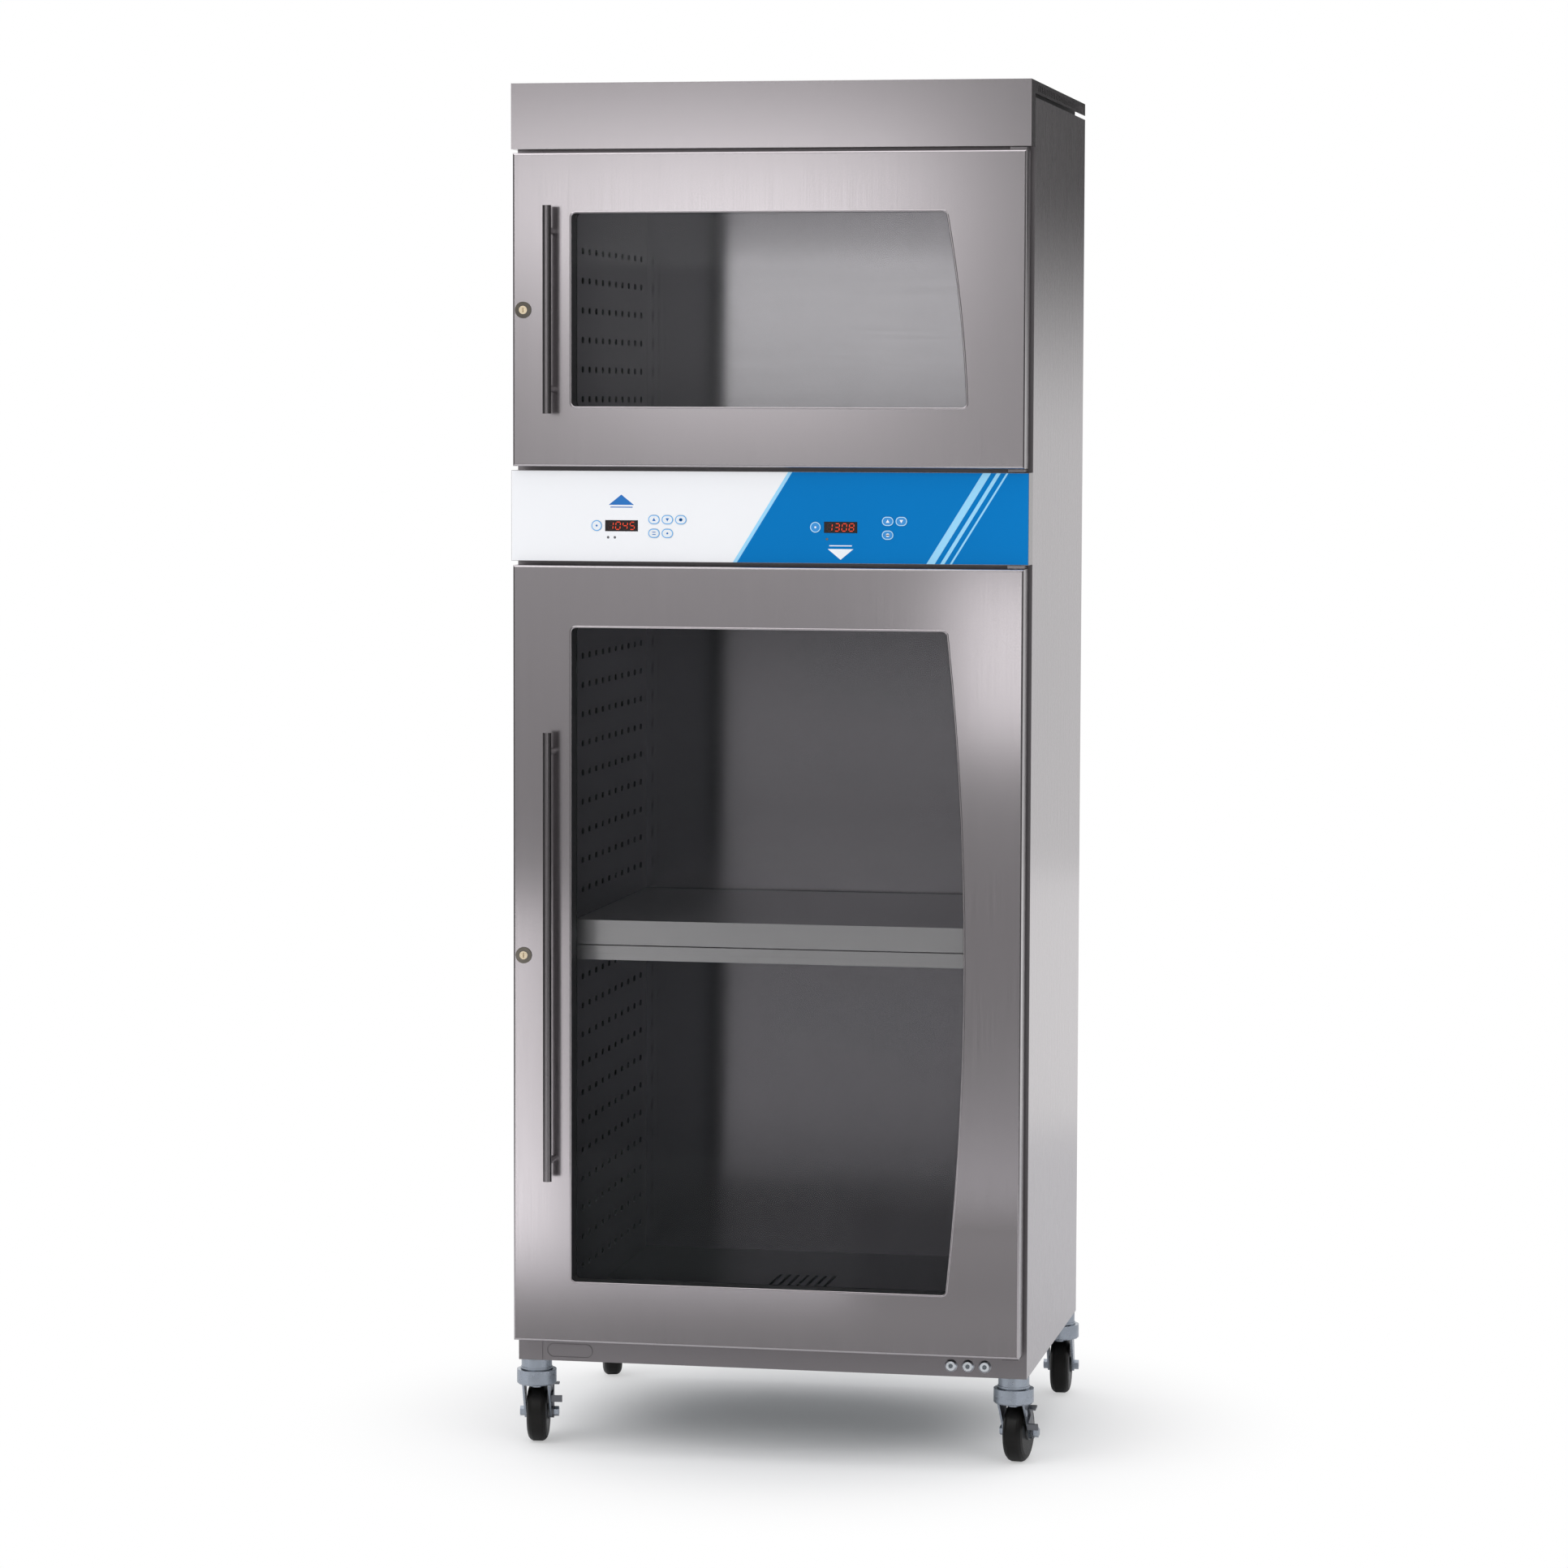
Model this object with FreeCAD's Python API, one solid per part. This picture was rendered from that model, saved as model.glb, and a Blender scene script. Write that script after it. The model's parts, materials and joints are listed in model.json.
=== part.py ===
import FreeCAD, Part
import math
import os

# Two-chamber warming cabinet on four swivel casters: a small upper chamber and a tall lower one,
# with a control panel between their glazed doors. All sizes are millimetres.
# Frame: +X to the right, +Y into the depth, +Z up, origin at the bottom centre of the bounding box.
# While it is modelled, x = 0 is the cabinet's middle plane and y = 0 the front plane of its body;
# export_nodes() moves everything to the origin at the end.

Vector = FreeCAD.Vector
X_AXIS = Vector(1, 0, 0)
Y_AXIS = Vector(0, 1, 0)
Z_AXIS = Vector(0, 0, 1)

# ---- Body ------------------------------------------------------------------------------------
cabinet_width = 762.0
body_depth = 559.0
underside = 131.5            # floor to the body's underside, which is the casters' height
wrap_sheet = 1.5             # outer wrap: both sides and the deck, bent from one sheet
post_width = 36.0            # front return of each side
rear_return = 18.0
frame_sheet = 2.0
panel_sheet = 1.5
liner_sheet = 1.2
sheet_gap = 0.2              # between sheets that are slid into one another

# ---- Front, from the base rail up ------------------------------------------------------------
rail_height = 39.0
lower_door_height = 1144.0
control_panel_height = 132.0
upper_door_height = 453.0
header_height = 95.0
door_gap = 6.0               # above and below each door
panel_projection = 41.0      # header and control panel, ahead of the body
door_projection = 53.0       # door faces, ahead of the body
door_thickness = 41.0
door_side_inset = 5.0

# ---- Top cover -------------------------------------------------------------------------------
cover_sheet = 1.5
skirt_height = 18.0
cover_gap = 6.0              # open gap between the deck and the cover's skirt
skirt_slot_size = (6.0, 9.0)
skirt_slot_pitch = 19.0
skirt_slot_margin = 14.0
cover_post = 16.0            # side of the square posts that carry the cover
cover_post_inset = 70.0

# ---- Doors -----------------------------------------------------------------------------------
door_sheet = 1.5
door_edge_radius = 3.0
window_side = 93.0           # body's left side to the window's straight left edge
window_corner_radius = 6.5
glass_thickness = 4.0
glass_rebate = 12.0          # how far the panes run behind the door's face
glass_clearance = 0.5
spacer_lip = 1.0             # spacer's inner edge, outside the window's edge
seal_inset = 32.0            # door's edge to the magnetic seal
seal_width = 14.0
seal_clearance = 0.3         # seal to the front frame
opening_margin = 2.0         # inside of the seal to the chamber's opening

# ---- Handles ---------------------------------------------------------------------------------
handle_radius = 6.35
handle_inset = 63.0          # body's left side to the bar's axis
handle_standoff = 28.0       # door's face to the bar's axis
handle_post_radius = 5.0

# ---- Locks -----------------------------------------------------------------------------------
lock_inset = 21.0            # body's left side to the lock's axis
lock_collar_radius = 12.0
lock_collar_height = 2.0
lock_barrel_radius = 9.5
lock_barrel_tail = 4.0       # how far the barrel stands out behind the door
lock_plug_radius = 6.0
lock_turning_fit = 0.08
lock_fit = 0.1
keyhole_size = (1.6, 7.0, 3.0)
cam_length = 20.0
cam_width = 11.0
cam_thickness = 2.5
cam_setback = 5.0            # cam's front face, behind the body's front plane
cam_slot_clearance = 3.0

# ---- Hinges ----------------------------------------------------------------------------------
hinge_inset = 19.0           # body's right side to the pins' axis
hinge_setback = 26.0         # doors' faces to the pins' axis
hinge_pin_radius = 4.0
hinge_pin_fit = 0.05
hinge_pin_reach = 14.0       # how far the pin stands in the door
hinge_clearance = 1.0        # bracket to the pieces above and below it
hinge_washer = (7.0, 0.7)
hinge_leg = (24.0, 3.0)      # height and thickness of the leg on the post
hinge_width = 24.0
hinge_nose = 9.0             # from the pins' axis to the bracket's front
hinge_boss_radius = 9.0

# ---- Chambers --------------------------------------------------------------------------------
chamber_inset = 81.0         # body's side to the chamber's side wall
duct_width = 36.0            # from there out to the tank's wall
rear_space = 45.0            # chamber's back wall to the body's back
plenum_height = 40.0         # below each chamber's floor, for its heater and blower
floor_slot_size = (6.0, 92.0)
floor_slot_pitch = 14.0
floor_slot_count = 7
duct_slot_size = (20.0, 6.0)
duct_column_pitch = 88.8
duct_column_margin = 27.0    # body's front plane to the first column
duct_row_pitch = 87.0
duct_top_margin = 89.7       # chamber's top to the first row
duct_bottom_margin = 30.0

# ---- Shelf -----------------------------------------------------------------------------------
shelf_row = 5                # slot row the shelf's frame hooks into, from the top
shelf_hook_rise = 9.7        # frame's top above the middle of that row
shelf_lip = 36.0
shelf_side_lip = 38.0
shelf_hem = 12.0
shelf_side_gap = 1.5
shelf_front = 15.0
shelf_back_gap = 9.0
support_height = 21.0
support_setback = 3.0
support_flange = 20.0
support_groove = (2.0, 0.6)
support_hook = (4.0, 16.0, 5.0)

# ---- Insulation ------------------------------------------------------------------------------
insulation_gap = 0.3
lid_insulation = 48.0
floor_insulation = 36.0
insulation_front = 20.0
insulation_relief = 2.0      # round the upper motor's flange

# ---- Control panel ---------------------------------------------------------------------------
overlay_thickness = 0.7
overlay_margin = 0.5
key_size = (16.5, 13.0)
key_proud = 0.6
key_travel = 0.5
key_flange = (1.2, 0.8)      # extra width all round, and thickness
key_gap = 0.3
display_size = (48.4, 15.7)
display_setback = 0.1        # display's face behind the overlay's face
lamp_radius = 1.6
board_thickness = 1.6
board_setback = 3.9          # tray's front sheet to the board's face
board_post = 6.0
board_margin = 18.0
switch_side = 5.0
switch_gap = 0.1             # pressed key to its switch
service_opening = (180.0, 84.0)
power_key_radius = 7.6
left_display_inset = 164.8   # body's left side to the left display's centre
right_display_inset = 273.5  # body's right side to the right display's centre
display_height = 52.2        # displays' centres above the panel's lower edge
key_row_lift = 9.3           # displays' centres to the upper row of keys
key_row_pitch = 19.9
key_offset = 48.3            # left display's centre to its first key
right_key_offset = 68.8      # right display's centre to its first key
key_pitch = 19.9
power_key_offset = 37.0      # displays' centres to the power keys on their left
lamp_drop = 17.0             # displays' centres to the status lamps
lamp_pitch = 10.0

# ---- Reset breakers and the stamped slot in the base rail ------------------------------------
breaker_count = 3
breaker_pitch = 25.0
breaker_inset = 62.0         # body's right side to the nearest breaker
breaker_height = 16.0        # above the underside
breaker_bezel = (9.5, 6.8, 4.0)
breaker_neck = (6.8, 6.5)
breaker_body = (15.0, 26.0)  # side of the square body, and its length
breaker_hole_fit = 0.2
breaker_button_radius = 3.0
breaker_button_gap = 0.3
breaker_button_setback = 0.8
breaker_travel = 2.5
stamp_size = (70.0, 21.0)
stamp_inset = 78.0           # body's left side to the stamp's centre
stamp_line = 1.6
stamp_depth = 0.8

# ---- Air movers, heaters and the power inlet -------------------------------------------------
motor_radius = 38.0
motor_height = 38.0
motor_flange = (48.0, 2.0)
shaft_radius = 4.0
shaft_fit = 0.05
shaft_reach = 28.0
blower_radius = 45.0
blower_height = 22.0
blower_floor_gap = 6.0
shaft_end_gap = 0.3
blade_count = 8
blade_size = (22.0, 1.2)
blade_lean = 25.0            # degrees
blower_hub_radius = 9.0
heater_ring_radius = 66.0
heater_band = (4.0, 8.0)     # width and height of the ring's flat sheath
heater_lift = 14.0           # tank's floor to the ring
heater_clip = 10.0
heater_clip_count = 3
inlet_inset = 81.0           # body's left side to the inlet's centre
inlet_height = 25.0          # above the underside
inlet_wall = 4.0
inlet_size = (48.0, 28.0)
inlet_flange = (60.0, 36.0, 3.0)
inlet_depth = 30.0
inlet_recess = 16.0
inlet_blade = (2.0, 6.0)
inlet_blade_spacing = 9.0
vent_slot_size = (5.0, 46.0)
vent_slot_pitch = 14.0
vent_slot_count = 14

# ---- Base ------------------------------------------------------------------------------------
base_sheet = 2.0
base_flange = 22.0
caster_block = (36.0, 12.0)  # side and height of the block that takes a caster's stem
caster_inset = 22.0          # stem's axis to the body's side, front or back

# ---- Casters ---------------------------------------------------------------------------------
stem_radius = 5.9
stem_fit = 0.2
stem_nut = (10.0, 8.0)
collar_radius = 22.8
collar_height = 13.0
race_radius = 23.7
kingpin_radius = 5.0
kingpin_head = (9.0, 5.0)
swivel_gap = 0.3
kingpin_fit = 0.06
crown_radius = 29.5
crown_bevel = 2.0
crown_plate = 6.0
crown_wall = 5.2
crown_top_gap = 4.0          # crown's rim below the collar
crown_height = 22.0
wheel_radius = 44.5
wheel_width = 30.0
# Tyre's rounded shoulder: below the tread, and in from the wheel's side.
tyre_shoulder = ((10.0, 0.0), (5.0, 1.5), (1.6, 4.5), (0.0, 8.0))
hub_radius = 12.0
hub_width = 34.4
axle_radius = 4.0
axle_fit = 0.06
caster_trail = 28.0
leg_gap = 35.0
leg_sheet = 3.0
leg_boss_radius = 10.0
leg_back = 20.0              # from the stem's axis towards the axle, at the crown
leg_front = 16.0
axle_nut = (7.5, 7.0)
lever_sheet = 2.5
lever_gap = 0.3
lever_boss_radius = 10.0
lever_reach = 44.0
lever_width = 11.0
lever_pedal = (18.0, 28.0)   # along the arm, from the axle
lever_pedal_reach = 22.0     # ahead of the arm's middle
lever_pedal_width = 14.0
lever_shoulder = 5.0
lever_tab = 8.0
lever_travel = 25.0          # degrees from released to set

# Swivel angle of each caster at rest, in degrees, and the brake lever's angle of each caster that
# has one: 0 is released.
caster_swivel = {"front_left": 188.0, "front_right": 172.5, "rear_right": 182.5, "rear_left": 195.0}
brake_angle = {"front_left": 0.0, "front_right": 22.0}

# ---- Worked out from the sizes above ---------------------------------------------------------
half_width = cabinet_width / 2
inside_half_width = half_width - wrap_sheet
door_half_width = half_width - door_side_inset
chamber_half_width = half_width - chamber_inset
liner_half_width = chamber_half_width + duct_width
chamber_depth = body_depth - rear_space
lock_x = -half_width + lock_inset
handle_x = -half_width + handle_inset
hinge_x = half_width - hinge_inset
stamp_x = -half_width + stamp_inset
inlet_x = -half_width + inlet_inset
breaker_x = [half_width - breaker_inset - i * breaker_pitch for i in reversed(range(breaker_count))]
left_display_x = -half_width + left_display_inset
right_display_x = half_width - right_display_inset
lower_door_bottom = underside + rail_height
lower_door_top = lower_door_bottom + lower_door_height
control_panel_bottom = lower_door_top + door_gap
control_panel_top = control_panel_bottom + control_panel_height
upper_door_bottom = control_panel_top + door_gap
upper_door_top = upper_door_bottom + upper_door_height
header_bottom = upper_door_top + door_gap
cover_top = header_bottom + header_height
body_top = cover_top - skirt_height - cover_gap
door_face = -door_projection
hinge_y = door_face + hinge_setback
hinge_plate = door_gap - 2 * hinge_clearance
door_back = door_face + door_thickness
frame_front = wrap_sheet
frame_back = frame_front + frame_sheet
opening_inset = seal_inset + seal_width + opening_margin
upper_opening = (upper_door_bottom + opening_inset, upper_door_top - opening_inset)
lower_opening = (lower_door_bottom + opening_inset, lower_door_top - opening_inset)
shelf_slot = lower_opening[1] - duct_top_margin - shelf_row * duct_row_pitch
shelf_height = shelf_slot + shelf_hook_rise + shelf_side_lip
pane_front = door_face + door_sheet
rear_panel_front = body_depth - panel_sheet
floor_level = underside + base_sheet
blower_y = (frame_back + chamber_depth) / 2
axle_height = wheel_radius
stem_x = half_width - caster_inset
stem_front_y = caster_inset
stem_rear_y = body_depth - caster_inset
tray_front = -panel_projection + overlay_thickness
tray_back_face = tray_front + liner_sheet

# Each door: its bottom and height, the window's margin above and below, the distance from the
# body's right side to the window's right edge at its top, middle and bottom, the handle's length
# and the distance between the handle's posts.
doors = {
    "upper": dict(bottom=upper_door_bottom, height=upper_door_height, margin=87.0,
                  right=(120.5, 100.0, 89.5), bar=300.0, posts=228.0),
    "lower": dict(bottom=lower_door_bottom, height=lower_door_height, margin=90.5,
                  right=(117.0, 89.0, 113.0), bar=659.0, posts=602.0),
}


# ---- Shape helpers ---------------------------------------------------------------------------
def block(x_span, y_span, z_span):
    """A box between two limits along each axis."""
    spans = (x_span, y_span, z_span)
    low = Vector(*[span[0] for span in spans])
    return Part.makeBox(*[span[1] - span[0] for span in spans], low)


def rod(radius, start, end):
    """A cylinder from one point to another."""
    along = end.sub(start)
    return Part.makeCylinder(radius, along.Length, start, along)


def around(value, half):
    """A span of the given half width around a value."""
    return (value - half, value + half)


def prism(points, along):
    """A closed polygon pushed along a vector."""
    wire = Part.makePolygon(points + [points[0]])
    return Part.Face(wire).extrude(along)


def turned(profile):
    """A closed (radius, height) outline turned about the Z axis."""
    wire = Part.makePolygon([Vector(r, 0, z) for r, z in profile + [profile[0]]])
    return Part.Face(wire).revolve(Vector(0, 0, 0), Z_AXIS, 360)


def hexagon(radius, z_span):
    """A hexagonal nut on the Z axis."""
    corners = [math.radians(60 * i) for i in range(6)]
    points = [Vector(radius * math.cos(a), radius * math.sin(a), z_span[0]) for a in corners]
    return prism(points, Vector(0, 0, z_span[1] - z_span[0]))


def stadium(x, z, length, height, y_span):
    """A round-ended slot shape seen from the front, pushed along Y; a plain disc if it isn't long."""
    radius = height / 2
    half = length / 2 - radius
    y = y_span[0]
    if length <= height:
        return rod(radius, Vector(x, y, z), Vector(x, y_span[1], z))
    top_right = Vector(x + half, y, z + radius)
    top_left = Vector(x - half, y, z + radius)
    bottom_left = Vector(x - half, y, z - radius)
    bottom_right = Vector(x + half, y, z - radius)
    edges = [
        Part.LineSegment(top_right, top_left).toShape(),
        Part.Arc(top_left, Vector(x - half - radius, y, z), bottom_left).toShape(),
        Part.LineSegment(bottom_left, bottom_right).toShape(),
        Part.Arc(bottom_right, Vector(x + half + radius, y, z), top_right).toShape(),
    ]
    return Part.Face(Part.Wire(edges)).extrude(Vector(0, y_span[1] - y, 0))


def joined(shapes):
    """Several touching or overlapping solids made one."""
    return shapes[0].fuse(shapes[1:]).removeSplitter()


def mirrored(shape):
    """The same shape on the other side of the middle plane."""
    return shape.mirror(Vector(0, 0, 0), X_AXIS)


def centred_series(count, pitch, middle=0.0):
    """Evenly spaced values around a middle."""
    return [middle + (i - (count - 1) / 2) * pitch for i in range(count)]


# ---- Body ------------------------------------------------------------------------------------
def lock_height(door):
    """The lock sits at the middle of its door's height."""
    return door["bottom"] + door["height"] / 2


def cam_slot(door, y_span):
    """Slot in the left post and frame that the lock's cam passes through when it hangs down."""
    half = cam_width / 2 + cam_slot_clearance
    middle = lock_height(door)
    return block(around(lock_x, half), y_span, (middle - cam_length - cam_slot_clearance, middle + half))


def make_outer_wrap():
    height = (underside, body_top)
    side = block((inside_half_width, half_width), (0, body_depth), height)
    post = block((half_width - post_width, half_width), (0, wrap_sheet), height)
    rear_y = (rear_panel_front - wrap_sheet, rear_panel_front)
    rear = block((half_width - rear_return, half_width), rear_y, height)
    right = joined([side, post, rear])
    deck = block((-half_width, half_width), (0, body_depth), (body_top - wrap_sheet, body_top))
    wrap = joined([right, mirrored(right), deck])
    return wrap.cut([cam_slot(door, (-1, frame_back)) for door in doors.values()])


def make_rear_panel():
    half = inside_half_width - sheet_gap
    y_span = (rear_panel_front, body_depth)
    panel = block((-half, half), y_span, (underside, body_top - wrap_sheet - sheet_gap))
    cutter_y = (rear_panel_front - 1, body_depth + 1)
    inlet_z = underside + inlet_height
    cuts = [block(around(inlet_x, inlet_size[0] / 2), cutter_y, around(inlet_z, inlet_size[1] / 2))]
    vent_z = (control_panel_bottom + control_panel_top) / 2
    for x in centred_series(vent_slot_count, vent_slot_pitch):
        cuts.append(block(around(x, vent_slot_size[0] / 2), cutter_y, around(vent_z, vent_slot_size[1] / 2)))
    return panel.cut(cuts)


def make_front_frame():
    half = inside_half_width - sheet_gap
    y_span = (frame_front, frame_back)
    cutter_y = (frame_front - 1, frame_back + 1)
    plate = block((-half, half), y_span, (underside, body_top - wrap_sheet - sheet_gap))
    middle = (control_panel_bottom + control_panel_top) / 2
    chamber_x = (-chamber_half_width, chamber_half_width)
    cuts = [
        block(chamber_x, cutter_y, upper_opening),
        block(chamber_x, cutter_y, lower_opening),
        block(around(0, service_opening[0] / 2), cutter_y, around(middle, service_opening[1] / 2)),
    ]
    cuts += [cam_slot(door, cutter_y) for door in doors.values()]
    for x in breaker_x:
        centre = Vector(x, cutter_y[0], underside + breaker_height)
        cuts.append(rod(breaker_neck[0] + breaker_hole_fit, centre, centre + Y_AXIS * (frame_sheet + 2)))
    length, height = stamp_size
    groove_y = (frame_front - 1, frame_front + stamp_depth)
    outline = stadium(stamp_x, underside + breaker_height, length, height, groove_y)
    inner = stadium(stamp_x, underside + breaker_height, length - 2 * stamp_line,
                    height - 2 * stamp_line, groove_y)
    cuts.append(outline.cut(inner))
    return plate.cut(cuts)


def make_base_pan():
    half = inside_half_width - sheet_gap
    rear = rear_panel_front - wrap_sheet - sheet_gap
    plate = block((-half, half), (frame_back, rear), (underside, floor_level))
    side_y = (caster_inset + caster_block[0], body_depth - caster_inset - caster_block[0])
    side = block((half - base_sheet, half), side_y, (underside, underside + base_flange))
    pieces = [plate, side, mirrored(side)]
    holes = []
    for x in (-stem_x, stem_x):
        for y in (stem_front_y, stem_rear_y):
            size = caster_block[0] / 2
            top = floor_level + caster_block[1]
            pieces.append(block(around(x, size), around(y, size), (underside, top)))
            holes.append(rod(stem_radius + stem_fit, Vector(x, y, underside - 1), Vector(x, y, top + 1)))
    return joined(pieces).cut(holes)


def make_top_cover():
    front = -panel_projection
    full_x = (-half_width, half_width)
    top = block(full_x, (front, body_depth), (cover_top - cover_sheet, cover_top))
    header = block(full_x, (front, front + cover_sheet), (header_bottom, cover_top))
    hem = block(full_x, (front, -sheet_gap), (header_bottom, header_bottom + cover_sheet))
    end_x = (half_width - cover_sheet, half_width)
    end = block(end_x, (front, -sheet_gap), (header_bottom, cover_top))
    skirt = block(end_x, (front, body_depth), (cover_top - skirt_height, cover_top))
    slots = []
    width, height = skirt_slot_size
    count = int((body_depth - 2 * skirt_slot_margin) / skirt_slot_pitch)
    slot_z = cover_top - cover_sheet - (skirt_height - cover_sheet) / 2
    for y in centred_series(count, skirt_slot_pitch, body_depth / 2):
        slots.append(block((end_x[0] - 1, end_x[1] + 1), around(y, width / 2), around(slot_z, height / 2)))
    side = joined([end, skirt]).cut(slots)
    posts = []
    post_x = half_width - cover_post_inset
    for x in (-post_x, post_x):
        for y in (cover_post_inset, body_depth / 2, body_depth - cover_post_inset):
            post_z = (body_top, cover_top - cover_sheet / 2)
            posts.append(block(around(x, cover_post / 2), around(y, cover_post / 2), post_z))
    return joined([top, header, hem, side, mirrored(side)] + posts)


# ---- Chambers --------------------------------------------------------------------------------
def make_liner(opening):
    """A chamber's steel tank: open at the front, with its plenum below the floor."""
    low = opening[0] - plenum_height
    outer = block((-liner_half_width, liner_half_width), (frame_back, chamber_depth + liner_sheet),
                  (low, opening[1] + liner_sheet))
    inner_half = liner_half_width - liner_sheet
    inner = block((-inner_half, inner_half), (frame_back - 1, chamber_depth),
                  (low + liner_sheet, opening[1]))
    shaft = Vector(0, blower_y, low - 1)
    return outer.cut([inner, rod(2 * shaft_radius, shaft, shaft + Z_AXIS * (liner_sheet + 2))])


def duct_rows(opening):
    """Heights of the slot rows that fit a chamber, from the top down."""
    first = opening[1] - duct_top_margin
    count = int((first - opening[0] - duct_bottom_margin) / duct_row_pitch) + 1
    return [first - i * duct_row_pitch for i in range(count)]


def duct_slot_columns():
    """Distances of the slot columns from the body's front plane."""
    room = chamber_depth - 2 * duct_column_margin
    count = int(room / duct_column_pitch) + 1
    return [duct_column_margin + i * duct_column_pitch for i in range(count)]


def make_duct_panels(opening):
    """Slotted side panels that stand off the tank's walls, and the slotted floor between them."""
    y_span = (frame_back + sheet_gap, chamber_depth - sheet_gap)
    z_span = (opening[0], opening[1] - sheet_gap)
    face = chamber_half_width
    reach = liner_half_width - liner_sheet - sheet_gap
    web = block((face, face + liner_sheet), y_span, z_span)
    front = block((face, reach), (y_span[0], y_span[0] + liner_sheet), z_span)
    back = block((face, reach), (y_span[1] - liner_sheet, y_span[1]), z_span)
    width, height = duct_slot_size
    slots = []
    cutter_x = (face - 1, face + liner_sheet + 1)
    for z in duct_rows(opening):
        for y in duct_slot_columns():
            slots.append(block(cutter_x, around(y, width / 2), around(z, height / 2)))
    side = joined([web, front, back]).cut(slots)
    floor_x = (-face + sheet_gap, face - sheet_gap)
    floor = block(floor_x, y_span, (opening[0] - liner_sheet, opening[0]))
    slot_width, slot_length = floor_slot_size
    cutter_z = (opening[0] - liner_sheet - 1, opening[0] + 1)
    cuts = []
    for x in centred_series(floor_slot_count, floor_slot_pitch):
        cuts.append(block(around(x, slot_width / 2), around(blower_y, slot_length / 2), cutter_z))
    return [mirrored(side), side, floor.cut(cuts)]


def make_insulation():
    """Slabs that fill the space between the tanks and the outer sheets."""
    gap = insulation_gap
    side_x = (liner_half_width + gap, inside_half_width - gap)
    low = lower_opening[0] - plenum_height
    high = body_top - wrap_sheet - gap
    side = block(side_x, (insulation_front, chamber_depth), (low, high))
    back_x = (-inside_half_width + gap, inside_half_width - gap)
    back_y = (chamber_depth + liner_sheet + gap, rear_panel_front - wrap_sheet - gap)
    back = block(back_x, back_y, (low, high))
    inner_x = (-liner_half_width, liner_half_width)
    inner_y = (insulation_front, chamber_depth)
    slabs = [side, mirrored(side), back]
    for opening, thickness in ((upper_opening, lid_insulation), (lower_opening, floor_insulation)):
        bottom = opening[1] + liner_sheet + gap
        slabs.append(block(inner_x, inner_y, (bottom, bottom + thickness)))
    tank_bottom = upper_opening[0] - plenum_height - gap
    slab = block(inner_x, inner_y, (tank_bottom - floor_insulation, tank_bottom))
    start = Vector(0, blower_y, tank_bottom - floor_insulation - 1)
    relief = rod(motor_flange[0] + insulation_relief, start, start + Z_AXIS * (floor_insulation + 2))
    slabs.append(slab.cut(relief))
    return slabs


def make_shelf():
    half = chamber_half_width - shelf_side_gap
    back = chamber_depth - shelf_back_gap
    top = shelf_height
    plate = block((-half, half), (shelf_front, back), (top - liner_sheet, top))
    lip = block((-half, half), (shelf_front, shelf_front + liner_sheet), (top - shelf_lip, top))
    hem_z = (top - shelf_lip, top - shelf_lip + liner_sheet)
    hem = block((-half, half), (shelf_front, shelf_front + shelf_hem), hem_z)
    rear = block((-half, half), (back - liner_sheet, back), (top - shelf_lip, top))
    side_y = (shelf_front + shelf_hem, back)
    side = block((half - liner_sheet, half), side_y, (top - shelf_side_lip, top))
    return joined([plate, lip, hem, rear, side, mirrored(side)])


def make_shelf_support():
    """Frame under the shelf: a front rail and two side angles, hooked into the duct slots."""
    top = shelf_height - shelf_side_lip
    z_span = (top - support_height, top)
    half = chamber_half_width - sheet_gap
    front = shelf_front + support_setback
    back = chamber_depth - shelf_back_gap
    face = block((-half, half), (front, front + liner_sheet), z_span)
    upper = block((-half, half), (front, front + support_flange), (top - liner_sheet, top))
    lower = block((-half, half), (front, front + support_flange), (z_span[0], z_span[0] + liner_sheet))
    groove_z = around(top - support_height / 2, support_groove[0] / 2)
    groove = block((-half, half), (front - 1, front + support_groove[1]), groove_z)
    web = block((half - liner_sheet, half), (front, back), z_span)
    ledge = block((half - support_flange, half), (front, back), (top - liner_sheet, top))
    reach, width, height = support_hook
    row = shelf_slot
    columns = duct_slot_columns()
    right = [web, ledge]
    for y in (columns[1], columns[-2]):
        hook_x = (half - liner_sheet, half + reach)
        right.append(block(hook_x, around(y, width / 2), around(row, height / 2)))
    side = joined(right)
    return joined([face.cut(groove), upper, lower, side, mirrored(side)])


# ---- Control panel ---------------------------------------------------------------------------
def key_centres():
    """Name, x and z of each key on the panel."""
    middle = control_panel_bottom + display_height
    upper_row = middle + key_row_lift
    lower_row = upper_row - key_row_pitch
    left_x = left_display_x + key_offset
    right_x = right_display_x + right_key_offset
    return {
        "left_power_key": (left_display_x - power_key_offset, middle),
        "left_key_1": (left_x, upper_row),
        "left_key_2": (left_x + key_pitch, upper_row),
        "left_key_3": (left_x + 2 * key_pitch, upper_row),
        "left_key_4": (left_x, lower_row),
        "left_key_5": (left_x + key_pitch, lower_row),
        "right_power_key": (right_display_x - power_key_offset, middle),
        "right_key_1": (right_x, upper_row),
        "right_key_2": (right_x + key_pitch, upper_row),
        "right_key_3": (right_x, lower_row),
    }


def key_outline(name):
    """Width and height of a key: the power keys are round, the others round-ended."""
    if "power" in name:
        return (2 * power_key_radius, 2 * power_key_radius)
    return key_size


def lamp_centres():
    """Two status lamps under the left display and one under the right."""
    z = control_panel_bottom + display_height - lamp_drop
    return [
        (left_display_x - 2 * lamp_pitch, z),
        (left_display_x - lamp_pitch, z),
        (right_display_x - 2 * lamp_pitch, z),
    ]


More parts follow.
